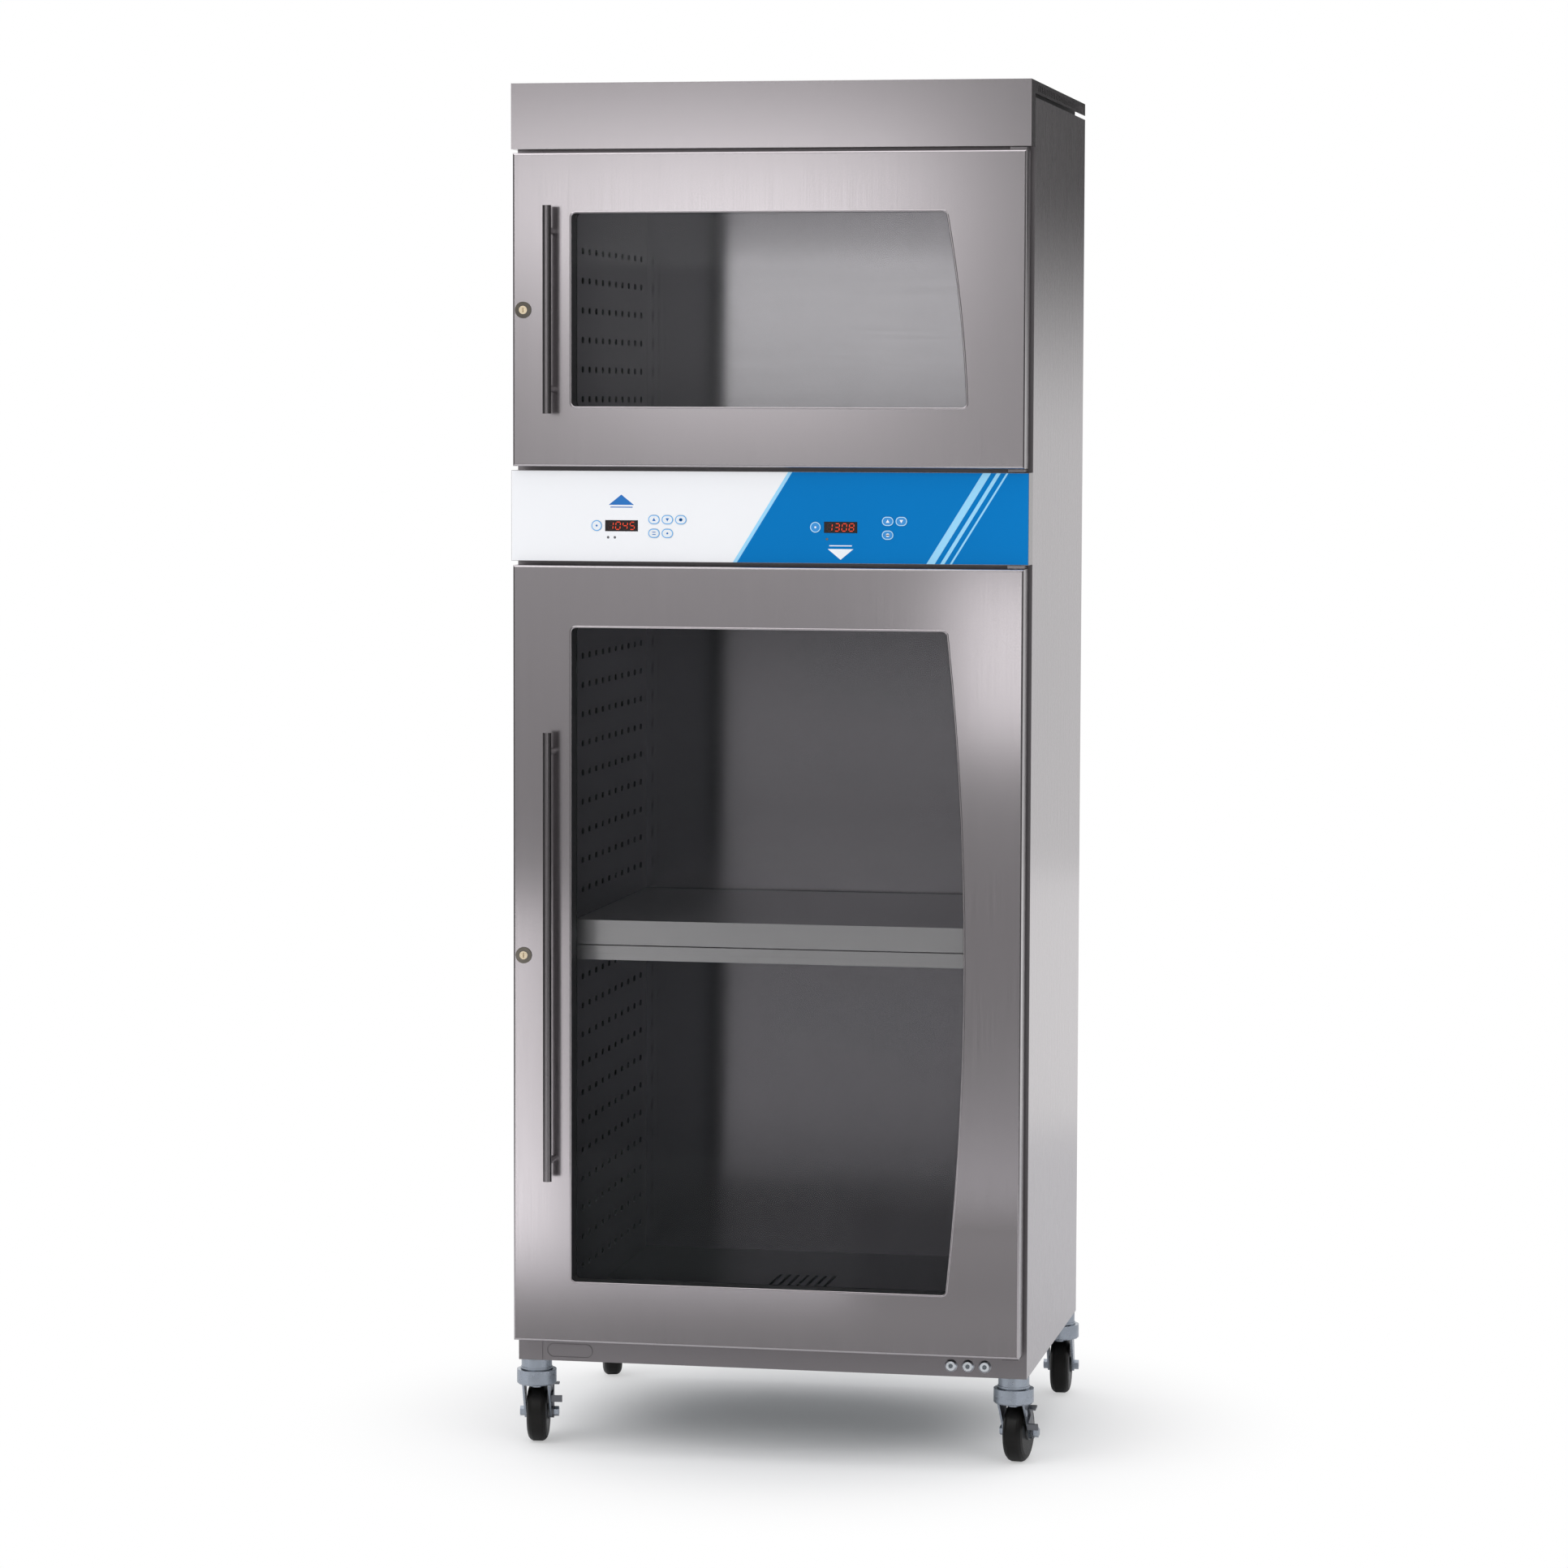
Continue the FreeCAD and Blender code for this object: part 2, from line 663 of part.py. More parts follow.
def display_and_lamp_cutters(y_span):
    """Openings for the displays and the lamps."""
    width, height = display_size
    middle = control_panel_bottom + display_height
    cutters = []
    for x in (left_display_x, right_display_x):
        cutters.append(block(around(x, width / 2 + key_gap), y_span, around(middle, height / 2 + key_gap)))
    for x, z in lamp_centres():
        cutters.append(rod(lamp_radius + key_gap, Vector(x, y_span[0], z), Vector(x, y_span[1], z)))
    return cutters


def make_control_tray():
    """Folded steel box behind the overlay, open at the back, with a square hole for each key."""
    outer = block((-half_width, half_width), (tray_front, 0), (control_panel_bottom, control_panel_top))
    inner_x = (-half_width + liner_sheet, half_width - liner_sheet)
    inner_z = (control_panel_bottom + liner_sheet, control_panel_top - liner_sheet)
    inner = block(inner_x, (tray_back_face, 1), inner_z)
    cutter_y = (tray_front - 1, tray_back_face + 1)
    cuts = [inner] + display_and_lamp_cutters(cutter_y)
    for name, (x, z) in key_centres().items():
        width, height = key_outline(name)
        cuts.append(block(around(x, width / 2 + key_gap), cutter_y, around(z, height / 2 + key_gap)))
    return outer.cut(cuts)


def make_control_overlay():
    """Printed film on the tray's face, cut out round the keys, the displays and the lamps."""
    half = half_width - overlay_margin
    z_span = (control_panel_bottom + overlay_margin, control_panel_top - overlay_margin)
    film = block((-half, half), (-panel_projection, tray_front), z_span)
    cutter_y = (-panel_projection - 1, tray_front + 1)
    cuts = display_and_lamp_cutters(cutter_y)
    for name, (x, z) in key_centres().items():
        width, height = key_outline(name)
        cuts.append(stadium(x, z, width + 2 * key_gap, height + 2 * key_gap, cutter_y))
    return film.cut(cuts)


def make_control_boards():
    """Two circuit boards on posts, with their displays, lamps and key switches."""
    board_face = tray_back_face + board_setback
    part_front = -panel_projection + display_setback
    switch_front = -panel_projection - key_proud + key_stack() + key_travel + switch_gap
    display_z = around(control_panel_bottom + display_height, display_size[1] / 2)
    boards = []
    for side, display_x in (("left", left_display_x), ("right", right_display_x)):
        own = [centre for name, centre in key_centres().items() if name.startswith(side)]
        x_span = (min(x for x, z in own) - board_margin, max(x for x, z in own) + board_margin)
        z_span = (min(z for x, z in own) - board_margin, max(z for x, z in own) + board_margin)
        pieces = [block(x_span, (board_face, board_face + board_thickness), z_span)]
        pieces.append(block(around(display_x, display_size[0] / 2), (part_front, board_face), display_z))
        for x, z in own:
            switch_y = (switch_front, board_face)
            pieces.append(block(around(x, switch_side / 2), switch_y, around(z, switch_side / 2)))
        for x, z in lamp_centres():
            if x_span[0] < x < x_span[1]:
                pieces.append(rod(lamp_radius, Vector(x, part_front, z), Vector(x, board_face, z)))
        for x in (x_span[0] + board_post, x_span[1] - board_post):
            for z in (z_span[0] + board_post, z_span[1] - board_post):
                post_y = (tray_back_face, board_face)
                pieces.append(block(around(x, board_post / 2), post_y, around(z, board_post / 2)))
        boards.append(joined(pieces))
    return boards


def key_stack():
    """A key's whole length, from its raised face to the back of its flange."""
    return key_proud + overlay_thickness + liner_sheet + key_gap + key_flange[1]


def make_key(name, x, z):
    """A key's raised cap, and the square flange that keeps it behind the tray."""
    front = -panel_projection - key_proud
    flange_front = tray_back_face + key_gap
    width, height = key_outline(name)
    extra, thickness = key_flange
    cap = stadium(x, z, width, height, (front, flange_front))
    flange = block(around(x, width / 2 + extra), (flange_front, flange_front + thickness),
                   around(z, height / 2 + extra))
    return joined([cap, flange])


# ---- Base rail, machinery and inlet ----------------------------------------------------------
def make_breaker_bodies():
    """Reset breakers: a bored conical bezel and neck in front of a square body."""
    height = underside + breaker_height
    bezel_outer, bezel_inner, bezel_length = breaker_bezel
    neck_radius, neck_length = breaker_neck
    side, body_length = breaker_body
    bore = breaker_button_radius + breaker_button_gap
    neck_end = bezel_length + neck_length
    profile = [
        (bore, 0), (bezel_inner, 0), (bezel_outer, bezel_length), (neck_radius, bezel_length),
        (neck_radius, neck_end), (bore, neck_end),
    ]
    bodies = []
    for x in breaker_x:
        bushing = turned(profile)
        bushing.rotate(Vector(0, 0, 0), X_AXIS, -90)
        bushing.translate(Vector(x, frame_front - bezel_length, height))
        back = frame_front + neck_length
        case = block(around(x, side / 2), (back, back + body_length), around(height, side / 2))
        bodies.append(joined([bushing, case]))
    return bodies


def make_breaker_button(x):
    front = frame_front - breaker_bezel[2] + breaker_button_setback
    back = frame_front + breaker_neck[1] - breaker_travel - breaker_button_gap
    height = underside + breaker_height
    return rod(breaker_button_radius, Vector(x, front, height), Vector(x, back, height))


def make_blower_motors():
    """One motor under each tank, hung from its floor by a flange."""
    motors = []
    for opening in (upper_opening, lower_opening):
        top = opening[0] - plenum_height
        bore = shaft_radius + shaft_fit
        flange_radius, flange_thickness = motor_flange
        profile = [
            (bore, top), (flange_radius, top), (flange_radius, top - flange_thickness),
            (motor_radius, top - flange_thickness), (motor_radius, top - motor_height),
            (0, top - motor_height), (0, top - shaft_reach), (bore, top - shaft_reach),
        ]
        motor = turned(profile)
        motor.translate(Vector(0, blower_y, 0))
        motors.append(motor)
    return motors


def make_blower_wheel(opening):
    """Radial blower wheel on its shaft, with flat blades standing on a round back plate."""
    tank_floor = opening[0] - plenum_height + liner_sheet
    bottom = tank_floor + blower_floor_gap
    top = bottom + blower_height
    blade_length, blade_sheet = blade_size
    shaft_end = opening[0] - plenum_height - shaft_reach + shaft_end_gap
    profile = [
        (0, shaft_end), (shaft_radius, shaft_end), (shaft_radius, bottom), (blower_radius, bottom),
        (blower_radius, bottom + liner_sheet), (blower_hub_radius, bottom + liner_sheet),
        (blower_hub_radius, top), (0, top),
    ]
    wheel = turned(profile)
    blades = []
    for index in range(blade_count):
        outer = blower_radius - blade_sheet
        blade = block((outer - blade_length, outer), (0, blade_sheet), (bottom, top))
        blade.rotate(Vector(outer, 0, 0), Z_AXIS, blade_lean)
        blade.rotate(Vector(0, 0, 0), Z_AXIS, index * 360.0 / blade_count)
        blades.append(blade)
    wheel = joined([wheel] + blades)
    wheel.translate(Vector(0, blower_y, 0))
    return wheel


def make_heaters():
    """A flat-sheathed heating ring round each blower, on its clips."""
    width, height = heater_band
    inner = heater_ring_radius - width / 2
    outer = heater_ring_radius + width / 2
    heaters = []
    for opening in (upper_opening, lower_opening):
        tank_floor = opening[0] - plenum_height + liner_sheet
        low = tank_floor + heater_lift
        pieces = [turned([(inner, low), (outer, low), (outer, low + height), (inner, low + height)])]
        for index in range(heater_clip_count):
            clip = block(around(heater_ring_radius, heater_clip / 2), around(0, heater_clip / 2),
                         (tank_floor, low + height / 2))
            clip.rotate(Vector(0, 0, 0), Z_AXIS, index * 360.0 / heater_clip_count)
            pieces.append(clip)
        heater = joined(pieces)
        heater.translate(Vector(0, blower_y, 0))
        heaters.append(heater)
    return heaters


def make_power_inlet():
    z = underside + inlet_height
    width, height = inlet_size
    flange_width, flange_height, flange_thickness = inlet_flange
    body = block(around(inlet_x, width / 2 - sheet_gap), (body_depth - inlet_depth, body_depth),
                 around(z, height / 2 - sheet_gap))
    flange = block(around(inlet_x, flange_width / 2), (body_depth, body_depth + flange_thickness),
                   around(z, flange_height / 2))
    recess_y = (body_depth - inlet_recess, body_depth + flange_thickness + 1)
    recess = block(around(inlet_x, width / 2 - inlet_wall), recess_y, around(z, height / 2 - inlet_wall))
    blades = []
    blade_sheet, blade_width = inlet_blade
    for offset in (-inlet_blade_spacing, 0, inlet_blade_spacing):
        blade_y = (body_depth - inlet_recess - 1, body_depth)
        blades.append(block(around(inlet_x + offset, blade_sheet / 2), blade_y, around(z, blade_width / 2)))
    return joined([joined([body, flange]).cut(recess)] + blades)


# ---- Hinges ----------------------------------------------------------------------------------
def make_hinge(door_edge, upward):
    """Bracket in a door gap; its pin stands up or down into the door and its leg lies on the post."""
    side = 1 if upward else -1
    near = door_edge - side * hinge_clearance
    far = near - side * hinge_plate
    leg_height, leg_sheet_y = hinge_leg
    washer_radius, washer_height = hinge_washer
    leg_end = near + side * leg_height
    x_span = around(hinge_x, hinge_width / 2)
    plate = block(x_span, (hinge_y - hinge_nose, 0), (min(near, far), max(near, far)))
    leg = block(x_span, (-leg_sheet_y, 0), (min(far, leg_end), max(far, leg_end)))
    top = door_edge + side * hinge_pin_reach
    pin = rod(hinge_pin_radius, Vector(hinge_x, hinge_y, far), Vector(hinge_x, hinge_y, top))
    washer_top = near + side * washer_height
    washer = rod(washer_radius, Vector(hinge_x, hinge_y, near), Vector(hinge_x, hinge_y, washer_top))
    return joined([plate, leg, pin, washer])


def make_hinge_brackets():
    brackets = []
    for door in doors.values():
        brackets.append(make_hinge(door["bottom"], True))
        brackets.append(make_hinge(door["bottom"] + door["height"], False))
    return brackets


# ---- Doors -----------------------------------------------------------------------------------
def window_prism(door, grow, y_span):
    """The window's outline, grown by a margin and pushed along Y."""
    middle = lock_height(door)
    half = door["height"] / 2 - door["margin"] + grow
    top_x, middle_x, bottom_x = [half_width - inset + grow for inset in door["right"]]
    left = -half_width + window_side - grow
    y = y_span[0]
    top_left = Vector(left, y, middle + half)
    bottom_left = Vector(left, y, middle - half)
    bottom_right = Vector(bottom_x, y, middle - half)
    top_right = Vector(top_x, y, middle + half)
    edges = [
        Part.LineSegment(top_left, bottom_left).toShape(),
        Part.LineSegment(bottom_left, bottom_right).toShape(),
        Part.Arc(bottom_right, Vector(middle_x, y, middle), top_right).toShape(),
        Part.LineSegment(top_right, top_left).toShape(),
    ]
    solid = Part.Face(Part.Wire(edges)).extrude(Vector(0, y_span[1] - y, 0))
    corners = [edge for edge in solid.Edges if abs(edge.tangentAt(edge.FirstParameter).y) > 0.999]
    return solid.makeFillet(window_corner_radius + max(grow, 0), corners)


def make_door_shell(door):
    """Hollow steel door: outer and inner skins, folded edges, and a steel throat round the window."""
    z_span = (door["bottom"], door["bottom"] + door["height"])
    slab = block((-door_half_width, door_half_width), (door_face, door_back), z_span)
    front_edges = [edge for edge in slab.Edges if edge.BoundBox.YMax < door_face + 0.01]
    slab = slab.makeFillet(door_edge_radius, front_edges)
    sheet = door_sheet
    hollow_half = door_half_width - sheet
    hollow = block((-hollow_half, hollow_half), (door_face + sheet, door_back - sheet),
                   (z_span[0] + sheet, z_span[1] - sheet))
    throat = window_prism(door, glass_rebate + sheet, (door_face, door_back))
    lock_start = Vector(lock_x, door_face, lock_height(door))
    lock_boss = rod(lock_collar_radius, lock_start, lock_start + Y_AXIS * door_thickness)
    boss_depth = hinge_pin_reach + 2 * sheet
    bosses = []
    sockets = []
    for edge, side in ((z_span[0], 1), (z_span[1], -1)):
        start = Vector(hinge_x, hinge_y, edge)
        bosses.append(rod(hinge_boss_radius, start, start + Z_AXIS * (side * boss_depth)))
        sockets.append(rod(hinge_pin_radius + hinge_pin_fit, start - Z_AXIS * side,
                           start + Z_AXIS * (side * (hinge_pin_reach + sheet))))
    hollow = hollow.cut([throat, lock_boss] + bosses)
    cuts = [
        hollow,
        window_prism(door, 0, (door_face - 1, door_face + 1 + sheet)),
        window_prism(door, glass_rebate, (pane_front, door_back + 1)),
        rod(lock_barrel_radius + lock_fit, lock_start - Y_AXIS, lock_start + Y_AXIS * (door_thickness + 1)),
    ]
    return slab.cut(cuts + sockets)


def make_door_glass(door):
    """Outer and inner pane."""
    grow = glass_rebate - glass_clearance
    outer = window_prism(door, grow, (pane_front, pane_front + glass_thickness))
    inner_back = door_back - door_sheet
    inner = window_prism(door, grow, (inner_back - glass_thickness, inner_back))
    return [outer, inner]


def make_door_seals(door):
    """Spacer between the panes, glazing bead behind them, and the magnetic seal on the door's back."""
    grow = glass_rebate - glass_clearance
    inner_back = door_back - door_sheet
    spacer_y = (pane_front + glass_thickness, inner_back - glass_thickness)
    spacer = window_prism(door, grow, spacer_y).cut(window_prism(door, spacer_lip, spacer_y))
    bead_y = (inner_back, door_back)
    bead = window_prism(door, grow, bead_y).cut(window_prism(door, spacer_lip, bead_y))
    seal_y = (door_back, frame_front - seal_clearance)
    z_span = (door["bottom"], door["bottom"] + door["height"])
    rings = []
    for inset in (seal_inset, seal_inset + seal_width):
        half = door_half_width - inset
        rings.append(block((-half, half), seal_y, (z_span[0] + inset, z_span[1] - inset)))
    return [spacer, bead, rings[0].cut(rings[1])]


def make_handle(door):
    """Round bar on two round posts."""
    middle = lock_height(door)
    y = door_face - handle_standoff
    half = door["bar"] / 2
    pieces = [rod(handle_radius, Vector(handle_x, y, middle - half), Vector(handle_x, y, middle + half))]
    for z in around(middle, door["posts"] / 2):
        pieces.append(rod(handle_post_radius, Vector(handle_x, door_face, z), Vector(handle_x, y, z)))
    return joined(pieces)


def make_lock_barrel(door):
    start = Vector(lock_x, door_face - lock_collar_height, lock_height(door))
    collar = rod(lock_collar_radius, start, start + Y_AXIS * lock_collar_height)
    length = lock_collar_height + door_thickness + lock_barrel_tail
    barrel = rod(lock_barrel_radius, start, start + Y_AXIS * length)
    bore = rod(lock_plug_radius + lock_turning_fit, start - Y_AXIS, start + Y_AXIS * (length + 1))
    return joined([collar, barrel]).cut(bore)


def make_lock_plug(door):
    """Key plug with its slot, and the cam that hangs down from its inner end."""
    height = lock_height(door)
    front = door_face - lock_collar_height
    cam_y = (cam_setback, cam_setback + cam_thickness)
    plug = rod(lock_plug_radius, Vector(lock_x, front, height), Vector(lock_x, cam_y[1], height))
    width, slot_height, slot_depth = keyhole_size
    slot_y = (front - 1, front + slot_depth)
    keyhole = block(around(lock_x, width / 2), slot_y, around(height, slot_height / 2))
    strip = block(around(lock_x, cam_width / 2), cam_y, (height - cam_length + cam_width / 2, height))
    tip_z = height - cam_length + cam_width / 2
    tip = rod(cam_width / 2, Vector(lock_x, cam_y[0], tip_z), Vector(lock_x, cam_y[1], tip_z))
    hub = rod(cam_width / 2, Vector(lock_x, cam_y[0], height), Vector(lock_x, cam_y[1], height))
    return joined([plug.cut(keyhole), strip, tip, hub])


# ---- Casters ---------------------------------------------------------------------------------
def caster_place(name):
    """Stem position of a caster."""
    x = -stem_x if name.endswith("left") else stem_x
    y = stem_front_y if name.startswith("front") else stem_rear_y
    return Vector(x, y, 0)


def crown_levels():
    """Underside and rim of the fork's crown."""
    rim = underside - collar_height - crown_top_gap
    return rim - crown_height, rim


def make_caster_stems():
    """Threaded stem, collar, upper race and kingpin of each caster; these stay with the cabinet."""
    low, rim = crown_levels()
    collar_low = underside - collar_height
    head_radius, head_height = kingpin_head
    head_top = low - swivel_gap
    race_low = low + crown_plate + swivel_gap
    block_top = floor_level + caster_block[1]
    nut_radius, nut_height = stem_nut
    profile = [
        (0, head_top - head_height), (head_radius, head_top - head_height), (head_radius, head_top),
        (kingpin_radius, head_top), (kingpin_radius, race_low), (race_radius, race_low),
        (race_radius, collar_low), (collar_radius, collar_low), (collar_radius, underside),
        (stem_radius, underside), (stem_radius, block_top), (0, block_top),
    ]
    stems = []
    for name in caster_swivel:
        nut = hexagon(nut_radius, (block_top, block_top + nut_height))
        stem = joined([turned(profile), nut])
        stem.translate(caster_place(name))
        stems.append(stem)
    return stems


def placed_caster(shape, name):
    """Turn a caster's piece by its swivel angle and set it under its stem."""
    shape.rotate(Vector(0, 0, 0), Z_AXIS, caster_swivel[name])
    shape.translate(caster_place(name))
    return shape


def tangent_point(y, z, side):
    """Where a line from (y, z) touches the round end of a fork's leg, on one side of the axle."""
    across = y + caster_trail
    up = z - axle_height
    turn = math.acos(leg_boss_radius / math.hypot(across, up))
    angle = math.atan2(up, across) - side * turn
    radius = leg_boss_radius
    return (-caster_trail + radius * math.cos(angle), axle_height + radius * math.sin(angle))


def make_fork(name):
    """Pressed fork: dished crown round the race, two tapered legs, and the axle bolt and its nuts."""
    low, rim = crown_levels()
    plate_top = low + crown_plate
    bore = kingpin_radius + kingpin_fit
    crown = turned([
        (bore, low), (crown_radius - crown_bevel, low), (crown_radius, low + crown_bevel),
        (crown_radius, rim), (crown_radius - crown_wall, rim), (crown_radius - crown_wall, plate_top),
        (bore, plate_top),
    ])
    axle_y = -caster_trail
    outline = [
        (-leg_back, plate_top), (leg_front, plate_top), (leg_front, low),
        tangent_point(leg_front, low, 1), tangent_point(-leg_back, low, -1), (-leg_back, low),
    ]
    pieces = [crown]
    for side in (-1, 1):
        x = side * leg_gap / 2
        push = Vector(side * leg_sheet, 0, 0)
        pieces.append(prism([Vector(x, y, z) for y, z in outline], push))
        centre = Vector(x, axle_y, axle_height)
        pieces.append(rod(leg_boss_radius, centre, centre + push))
    outer = leg_gap / 2 + leg_sheet
    nut_radius, nut_height = axle_nut
    lever_outer = outer
    if name in brake_angle:
        lever_outer += 2 * lever_gap + lever_sheet
    for start in (-lever_outer - nut_height, outer):
        nut = hexagon(nut_radius, (start, start + nut_height))
        nut.rotate(Vector(0, 0, 0), Y_AXIS, 90)
        nut.translate(Vector(0, axle_y, axle_height))
        pieces.append(nut)
    axle_ends = [Vector(x, axle_y, axle_height) for x in (-lever_outer, outer)]
    pieces.append(rod(axle_radius, *axle_ends))
    return placed_caster(joined(pieces), name)


def make_wheel(name):
    """Rubber-tyred wheel with a proud hub and rounded shoulders."""
    bore = axle_radius + axle_fit
    half = wheel_width / 2
    shoulder = [(wheel_radius - drop, half - inward) for drop, inward in tyre_shoulder]
    wheel = turned(
        [(bore, -hub_width / 2), (hub_radius, -hub_width / 2), (hub_radius, -half)]
        + [(radius, -across) for radius, across in shoulder]
        + shoulder[::-1]
        + [(hub_radius, half), (hub_radius, hub_width / 2), (bore, hub_width / 2)]
    )
    wheel.rotate(Vector(0, 0, 0), Y_AXIS, 90)
    wheel.translate(Vector(0, -caster_trail, axle_height))
    return placed_caster(wheel, name)


def make_brake_lever(name):
    """Side brake lever on the axle bolt: an arm with a tab at its top and a pedal ahead of it."""
    inner = -leg_gap / 2 - leg_sheet - lever_gap
    outer = inner - lever_sheet
    half = lever_width / 2
    low, high = lever_pedal
    outline = [
        (-half, 0), (-half, lever_reach), (half, lever_reach), (half, high + lever_shoulder),
        (lever_pedal_reach, high), (lever_pedal_reach, low), (half, low - lever_shoulder), (half, 0),
    ]
    push = Vector(-lever_sheet, 0, 0)
    pieces = [
        prism([Vector(inner, y, z) for y, z in outline], push),
        rod(lever_boss_radius, Vector(inner, 0, 0), Vector(outer, 0, 0)),
        block((outer - lever_tab, inner), (-half, half), (lever_reach - lever_sheet, lever_reach)),
        block((outer - lever_pedal_width, inner), (lever_pedal_reach - lever_sheet, lever_pedal_reach),
              (low, high)),
    ]
    hole = rod(axle_radius + axle_fit, Vector(inner, 0, 0) - push, Vector(outer, 0, 0) + push)
    lever = joined(pieces).cut(hole)
    lever.rotate(Vector(0, 0, 0), X_AXIS, -brake_angle[name])
    lever.translate(Vector(0, -caster_trail, axle_height))
    return placed_caster(lever, name)


# ---- Nodes -----------------------------------------------------------------------------------
def build_nodes():
    """Every sub-part by name; each value is one solid or a list of them."""
    nodes = {
        "outer_wrap": make_outer_wrap(),
        "rear_panel": make_rear_panel(),
        "front_frame": make_front_frame(),
        "base_pan": make_base_pan(),
        "top_cover": make_top_cover(),
        "upper_liner": make_liner(upper_opening),
        "lower_liner": make_liner(lower_opening),
        "upper_duct_panels": make_duct_panels(upper_opening),
        "lower_duct_panels": make_duct_panels(lower_opening),
        "insulation": make_insulation(),
        "shelf": make_shelf(),
        "shelf_support": make_shelf_support(),
        "control_tray": make_control_tray(),
        "control_overlay": make_control_overlay(),
        "control_boards": make_control_boards(),
        "heaters": make_heaters(),
        "blower_motors": make_blower_motors(),
        "hinge_brackets": make_hinge_brackets(),
        "breaker_bodies": make_breaker_bodies(),
        "power_inlet": make_power_inlet(),
        "caster_stems": make_caster_stems(),
        "upper_blower_wheel": make_blower_wheel(upper_opening),
        "lower_blower_wheel": make_blower_wheel(lower_opening),
    }
    for name, (x, z) in key_centres().items():
        nodes[name] = make_key(name, x, z)
    for index, x in enumerate(breaker_x):
        nodes["breaker_button_%d" % (index + 1)] = make_breaker_button(x)
    for name, door in doors.items():
        nodes[name + "_door_shell"] = make_door_shell(door)
        nodes[name + "_door_glass"] = make_door_glass(door)
        nodes[name + "_door_seals"] = make_door_seals(door)
        nodes[name + "_handle"] = make_handle(door)
        nodes[name + "_lock_barrel"] = make_lock_barrel(door)
        nodes[name + "_lock_plug"] = make_lock_plug(door)
    for name in caster_swivel:
        nodes[name + "_fork"] = make_fork(name)
        nodes[name + "_wheel"] = make_wheel(name)
    for name in brake_angle:
        nodes[name + "_brake_lever"] = make_brake_lever(name)
    return nodes


def whole_box(nodes):
    """Bounding box of all the solids."""
    limits = FreeCAD.BoundBox()
    for shape in nodes.values():
        for solid in shape if isinstance(shape, list) else [shape]:
            limits.add(solid.optimalBoundingBox(False))
    return limits


def export_nodes(nodes):
    """Move the model to its origin, the bottom centre of its box, and write one STEP file per node."""
    limits = whole_box(nodes)
    move = Vector(-limits.Center.x, -limits.Center.y, -limits.ZMin)
    os.makedirs("parts", exist_ok=True)
    for name, shape in nodes.items():
        whole = Part.makeCompound(shape) if isinstance(shape, list) else shape
        whole.translate(move)
        whole.exportStep("parts/" + name + ".step")
    return move


origin_move = export_nodes(build_nodes())
print("moved by", tuple(round(value, 3) for value in origin_move))
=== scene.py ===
import json
import math

import bmesh
import bpy
from mathutils import Matrix, Vector


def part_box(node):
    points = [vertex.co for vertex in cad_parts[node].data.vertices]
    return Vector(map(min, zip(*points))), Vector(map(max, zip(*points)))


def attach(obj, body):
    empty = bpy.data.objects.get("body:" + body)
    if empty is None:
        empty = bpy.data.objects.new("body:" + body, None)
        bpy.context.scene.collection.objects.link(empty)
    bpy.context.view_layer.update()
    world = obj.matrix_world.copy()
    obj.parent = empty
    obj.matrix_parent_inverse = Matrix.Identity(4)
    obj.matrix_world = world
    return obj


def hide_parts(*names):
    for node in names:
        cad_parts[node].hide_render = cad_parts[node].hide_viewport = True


# Looks of the warming cabinet: brushed steel, glass, printed panel, casters. Sizes are in metres.
# +X is to the right seen from the front, +Y runs from the doors to the back, +Z is up.

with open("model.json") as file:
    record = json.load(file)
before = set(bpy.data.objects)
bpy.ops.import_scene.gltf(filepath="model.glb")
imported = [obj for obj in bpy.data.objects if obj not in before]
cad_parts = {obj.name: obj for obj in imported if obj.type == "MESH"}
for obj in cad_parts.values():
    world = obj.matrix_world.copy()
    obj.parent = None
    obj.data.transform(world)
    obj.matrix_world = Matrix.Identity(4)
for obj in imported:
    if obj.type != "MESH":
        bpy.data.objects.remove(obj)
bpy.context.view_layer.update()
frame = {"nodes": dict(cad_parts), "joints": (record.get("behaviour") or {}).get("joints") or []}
nodes = frame["nodes"]

# ---- Camera and light ------------------------------------------------------------------------
# The photo's camera, worked out from vanishing points and the casters' places on the floor.
CAMERA_PLACE = (1.345288, -7.258203, 1.54485)
CAMERA_RIGHT = (0.98240, 0.18677, 0.003176)
CAMERA_DOWN = (0.017436, -0.074760, -0.997049)
CAMERA_FORWARD = (-0.185984, 0.979554, -0.076701)
CAMERA_LENS = 112.355          # millimetres on a 36 mm wide sensor
FLOOR_RADIUS = 3.2
FLOOR_STEPS = 96
FLOOR_FADE = (0.15, 0.80)      # distances from the middle where the floor starts and ends turning white
FLOOR_COLOUR = (0.95, 0.95, 0.95)
FLOOR_ROUGHNESS = 0.9
ROOM_COLOUR = (0.96, 0.97, 1.0, 1.0)       # what matt surfaces get from the world around them
ROOM_STRENGTH = 0.70
WHITE = (1.0, 1.0, 1.0, 1.0)
